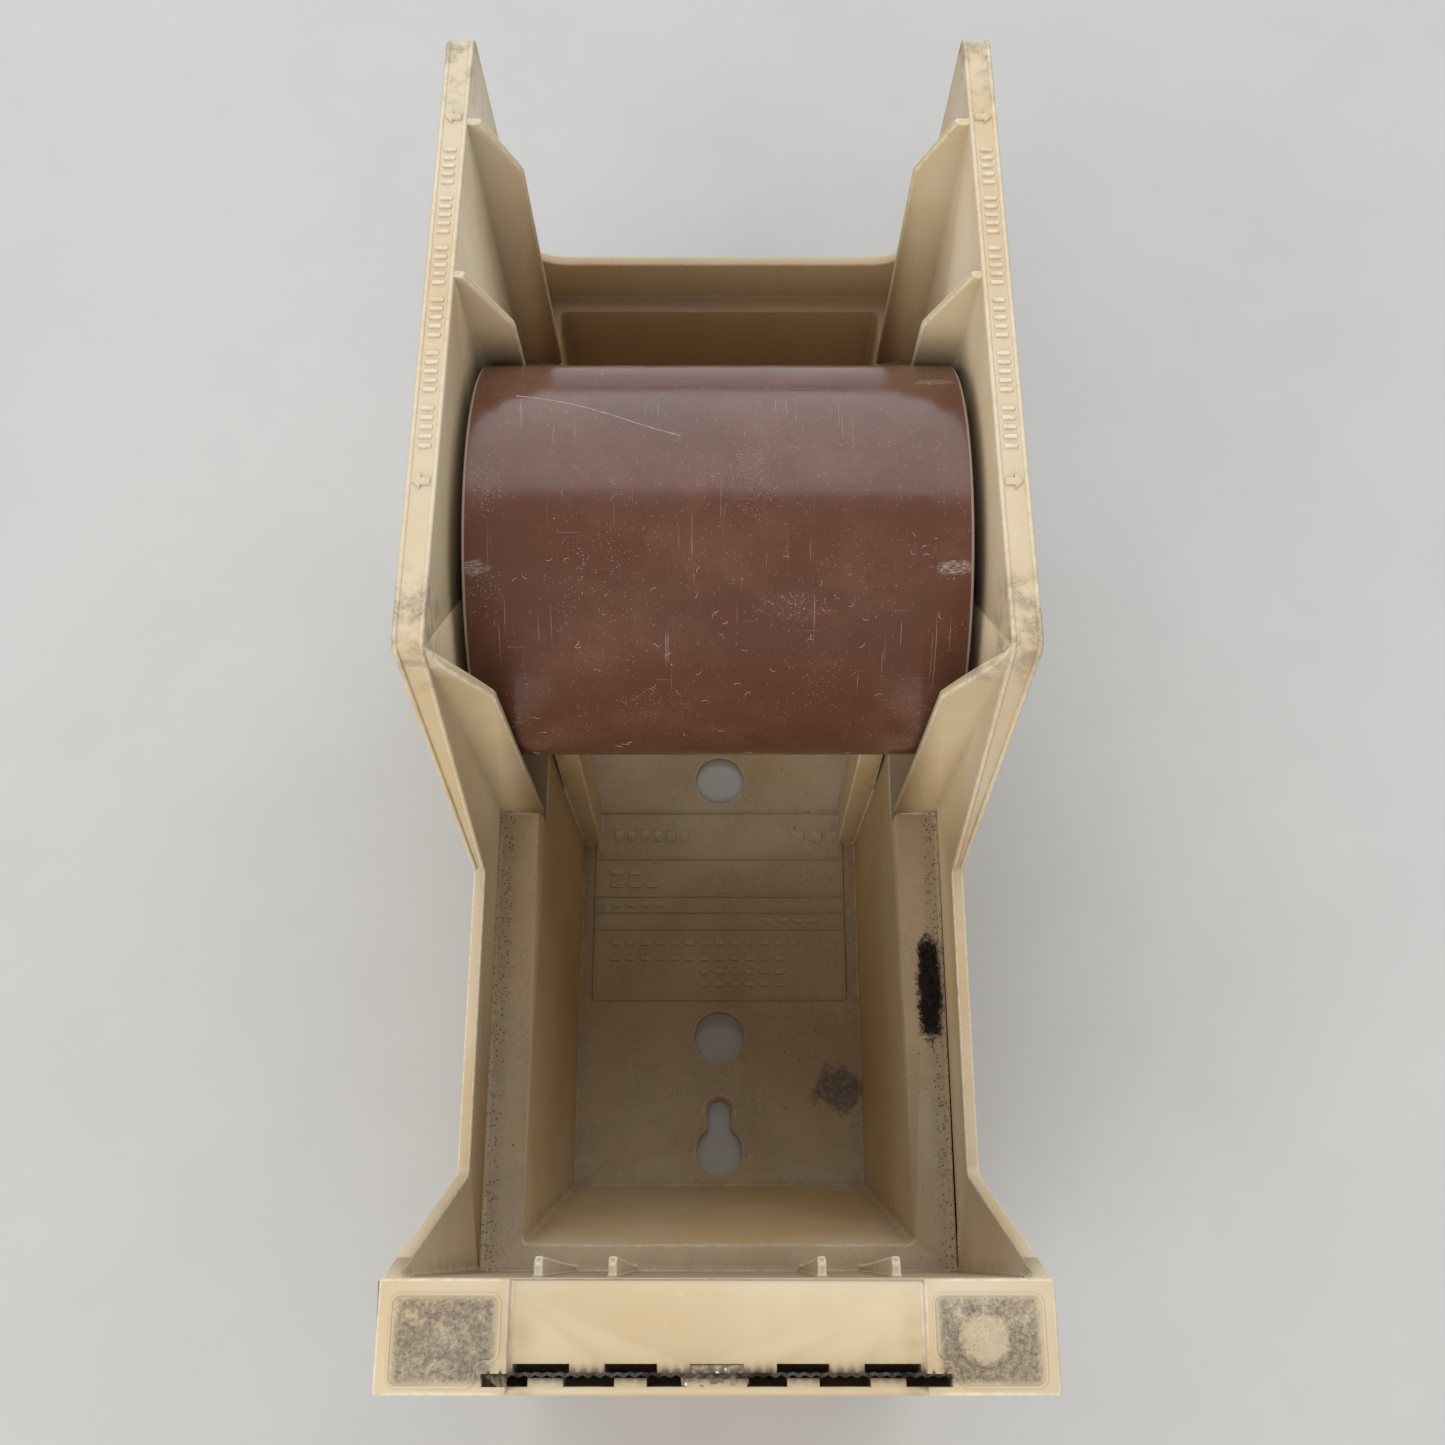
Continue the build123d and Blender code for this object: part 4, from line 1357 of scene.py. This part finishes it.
@dataclass
class Drum:
    """The drum: a turned tube and its two end discs. Sizes in millimetres."""

    skin: float = 2.4
    edge_round: float = 0.7
    edge_turns: int = 5
    around: int = 192
    lint_count: int = 90
    hair_steps: int = 24

    def __post_init__(self) -> None:
        """Measures the CAD drum and makes the finishes once."""
        low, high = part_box("drum_shell")
        self.centre = (low + high) / 2 / MM
        self.half = (high.x - low.x) / 2 / MM
        self.radius = (high.z - low.z) / 2 / MM
        self.finish = DrumPlastic(
            axis_y=self.centre.y, axis_z=self.centre.z, radius=self.radius
        ).make()
        self.lint = Lint("pale_lint", (0.42, 0.38, 0.35), (0.66, 0.62, 0.58)).make()

    def profile(self) -> list[tuple[float, float]]:
        """Closed outline (x, r) of the tube's wall, with rounded rims."""
        inner = self.radius - self.skin
        run = []
        for step in range(self.edge_turns + 1):
            angle = math.radians(90 * step / self.edge_turns)
            run.append((
                self.half - self.edge_round * (1 - math.sin(angle)),
                self.radius - self.edge_round * (1 - math.cos(angle)),
            ))
        run += [(self.half, inner + 0.3), (self.half - 0.3, inner)]
        return run + [(-x, r) for x, r in reversed(run)]

    def tube(self) -> bpy.types.Object:
        """The tube itself."""
        outline = self.profile()
        count = len(outline)
        verts, faces = [], []
        for turn in range(self.around):
            angle = 2 * math.pi * turn / self.around
            for x, r in outline:
                spot = Vector((x, -r * math.sin(angle), r * math.cos(angle)))
                verts.append((self.centre + spot) * MM)
        for turn in range(self.around):
            after = (turn + 1) % self.around
            for index in range(count):
                following = (index + 1) % count
                faces.append((
                    turn * count + index, turn * count + following,
                    after * count + following, after * count + index,
                ))
        mesh = bpy.data.meshes.new("drum_tube")
        mesh.from_pydata(verts, [], faces)
        shape = bmesh.new()
        shape.from_mesh(mesh)
        bmesh.ops.recalc_face_normals(shape, faces=shape.faces)
        bpy.data.meshes.remove(mesh)
        piece = settle(show("drum_tube", shape, self.finish), Body.DRUM, 35.0)
        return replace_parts(piece, "drum_shell")

    def hairs(self) -> bpy.types.Object:
        """Pale hairs of lint that cling round the drum."""
        reach = self.half - 3
        crown = self.centre + Vector((0, 0, self.radius + 0.03))
        values = {
            "Count": self.lint_count,
            "Low": (crown - Vector((reach, 0, 0))) * MM,
            "High": (crown + Vector((reach, 0, 0))) * MM,
            "Length": 1.5 * MM,
            "Radius": 0.034 * MM,
            "Tilt": 0.02,
            "Axis Place": self.centre * MM,
            "Turn Low": math.radians(-60),
            "Turn High": math.radians(105),
            "Seed": 5,
            "Material": self.lint,
        }
        return settle(fibre_tree().grow("drum_lint", values), Body.DRUM)

    def long_hair(self) -> bpy.types.Object:
        """One long pale hair that lies across the drum."""
        radius = self.radius + 0.02
        points = []
        for step in range(self.hair_steps + 1):
            share = step / self.hair_steps
            angle = math.radians(26.0 - 15.0 * share + 1.2 * math.sin(5.0 * share))
            spot = Vector((-36.4 + 29.8 * share, radius * math.sin(angle), radius * math.cos(angle)))
            points.append(self.centre + spot)
        piece = bead_along(bead_tree(), "drum_hair", points, 0.045, self.lint)
        return settle(piece, Body.DRUM)

    def build(self) -> None:
        """Builds the tube, dresses the end discs and adds the lint."""
        self.tube()
        self.hairs()
        self.long_hair()
        for name in ("drum_end_left", "drum_end_right"):
            dress(name, self.finish)


def dress(node: str, finish: bpy.types.Material) -> None:
    """Gives a CAD node a better material in its own slots."""
    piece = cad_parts[node]
    for place in piece.material_slots:
        place.material = finish
    LOG.info("%s: dressed in %s", node, finish.name)


@dataclass
class Blade:
    """The toothed blade, its teeth leaning to the rear, and the residue on it. Sizes in millimetres."""

    teeth: int = 40
    tooth_depth: float = 1.2
    lean: float = 0.34
    thinned: float = 0.12
    residue_half: tuple[float, float] = (4.7, 1.75)
    cells: tuple[int, int] = (46, 18)

    def tooth(self) -> bpy.types.Mesh:
        """One tooth with the strip under it, open at both sides."""
        low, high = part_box("blade")
        step = (high.x - low.x) / self.teeth
        shoulder = high.z - self.tooth_depth * MM
        verts, faces = [], []
        for x, top in ((0.0, shoulder), (step / 2, high.z), (step, shoulder)):
            shift = self.lean * MM * (top - shoulder) / (high.z - shoulder)
            thin = self.thinned * MM if top > shoulder else 0.0
            verts += [
                (low.x + x, low.y, low.z), (low.x + x, low.y + shift + thin, top),
                (low.x + x, high.y + shift - thin, top), (low.x + x, high.y, low.z),
            ]
        for first in (0, 4):
            for corner in range(4):
                after = (corner + 1) % 4
                faces.append((first + corner, first + after, first + 4 + after, first + 4 + corner))
        mesh = bpy.data.meshes.new("tooth")
        mesh.from_pydata(verts, [], faces)
        return mesh

    def strip(self) -> bpy.types.Object:
        """All the teeth in one row."""
        low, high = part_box("blade")
        values = {
            "Count": self.teeth,
            "Step": ((high.x - low.x) / self.teeth, 0.0, 0.0),
            "Material": BladeSteel().make(),
        }
        piece = teeth_tree().grow("blade_strip", values, self.tooth())
        shape = bmesh.new()
        shape.from_mesh(piece.data)
        bmesh.ops.holes_fill(shape, edges=shape.edges, sides=4)
        bmesh.ops.recalc_face_normals(shape, faces=shape.faces)
        shape.to_mesh(piece.data)
        shape.free()
        settle(piece, smooth=25.0)
        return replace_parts(piece, "blade")

    def residue(self) -> bpy.types.Object:
        """The lumpy patch of old adhesive across the middle of the blade."""
        low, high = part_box("blade")
        half_x, half_y = self.residue_half
        columns, rows = self.cells
        middle = Vector((-0.4 * MM, (low.y + high.y) / 2 - 0.1 * MM, high.z - 1.45 * MM))
        verts = []
        for row in range(rows + 1):
            for column in range(columns + 1):
                u, v = 2 * column / columns - 1, 2 * row / rows - 1
                place = Vector((u * half_x, v * half_y, 0.0))
                rough = noise.fractal(place * 0.9 + Vector((3.0, 7.0, 1.0)), 1.0, 2.0, 4)
                edge = max(0.0, 1 - max(abs(u), abs(v)) ** 6)
                frayed = 1 + 0.10 * noise.noise(place * 0.8)
                place.x, place.y = place.x * frayed, place.y * frayed
                place.z = edge * (0.35 + 0.32 * rough) - 0.25
                verts.append(middle + place * MM)
        faces = []
        for row in range(rows):
            for column in range(columns):
                first = row * (columns + 1) + column
                faces.append((first, first + 1, first + columns + 2, first + columns + 1))
        mesh = bpy.data.meshes.new("blade_residue")
        mesh.from_pydata(verts, [], faces)
        return settle(show("blade_residue", mesh, Residue().make()), smooth=80.0)

    def build(self) -> None:
        """Builds the strip and the residue."""
        self.strip()
        self.residue()


@dataclass(frozen=True)
class Lamp:
    """A soft rectangular light: its place and size in metres, power in watts, and colour."""

    name: str
    place: Point
    size: tuple[float, float]
    power: float
    colour: Colour
    glossy: bool = True


@dataclass
class Studio:
    """Table, lights and camera. Lengths in metres."""

    camera_place: Point = (0.0008, -0.112, 0.405)
    camera_tilt: float = 20.5
    lens: float = 39.86
    table: float = 6.0
    aim: Point = (0.0, 0.0, 0.08)
    room_colour: Colour = (0.97, 0.98, 1.0)
    room_strength: float = 0.34
    lamps: tuple[Lamp, ...] = (
        Lamp("rear_light", (0.1, 1.20, 1.08), (2.6, 2.3), 34.0, (0.95, 0.98, 1.0)),
        Lamp("front_light", (-0.4, -1.15, 1.05), (2.0, 1.3), 24.0, (1.0, 0.975, 0.93), False),
    )

    def hang(self, lamp: Lamp) -> bpy.types.Object:
        """Hangs one light so that it faces the dispenser."""
        data = bpy.data.lights.new(lamp.name, "AREA")
        data.shape = "RECTANGLE"
        data.size, data.size_y = lamp.size
        data.energy = lamp.power
        data.color = lamp.colour
        light = bpy.data.objects.new(lamp.name, data)
        light.location = lamp.place
        way = Vector(self.aim) - Vector(lamp.place)
        light.rotation_euler = way.to_track_quat("-Z", "Y").to_euler()
        light.visible_glossy = lamp.glossy
        bpy.context.scene.collection.objects.link(light)
        return light

    def build(self) -> None:
        """Sets the table, the lights and the camera."""
        scene = bpy.context.scene
        half = self.table / 2
        mesh = bpy.data.meshes.new("table")
        corners = [(-half, -half, 0), (half, -half, 0), (half, half, 0), (-half, half, 0)]
        mesh.from_pydata(corners, [], [(0, 1, 2, 3)])
        show("table", mesh, TableTop().make())
        world = bpy.data.worlds.new("room")
        world.use_nodes = True
        background = world.node_tree.nodes["Background"]
        background.inputs[0].default_value = (*self.room_colour, 1.0)
        background.inputs[1].default_value = self.room_strength
        scene.world = world
        for lamp in self.lamps:
            self.hang(lamp)
        scene.view_settings.view_transform = "Standard"
        data = bpy.data.cameras.new("camera")
        data.sensor_width = 36.0
        data.lens = self.lens
        data.clip_start = 0.01
        camera = bpy.data.objects.new("camera", data)
        camera.location = self.camera_place
        camera.rotation_euler = (math.radians(self.camera_tilt), 0.0, 0.0)
        scene.collection.objects.link(camera)
        scene.camera = camera
        LOG.info("studio: table, %d lights and camera", len(self.lamps))


def main() -> None:
    """Builds every sub-assembly in order."""
    logging.basicConfig(level=logging.INFO, format="%(name)s %(message)s")
    for assembly in (Studio(), MouldedBody(), Drum(), Blade()):
        assembly.build()


if __name__ == "__main__":
    main()
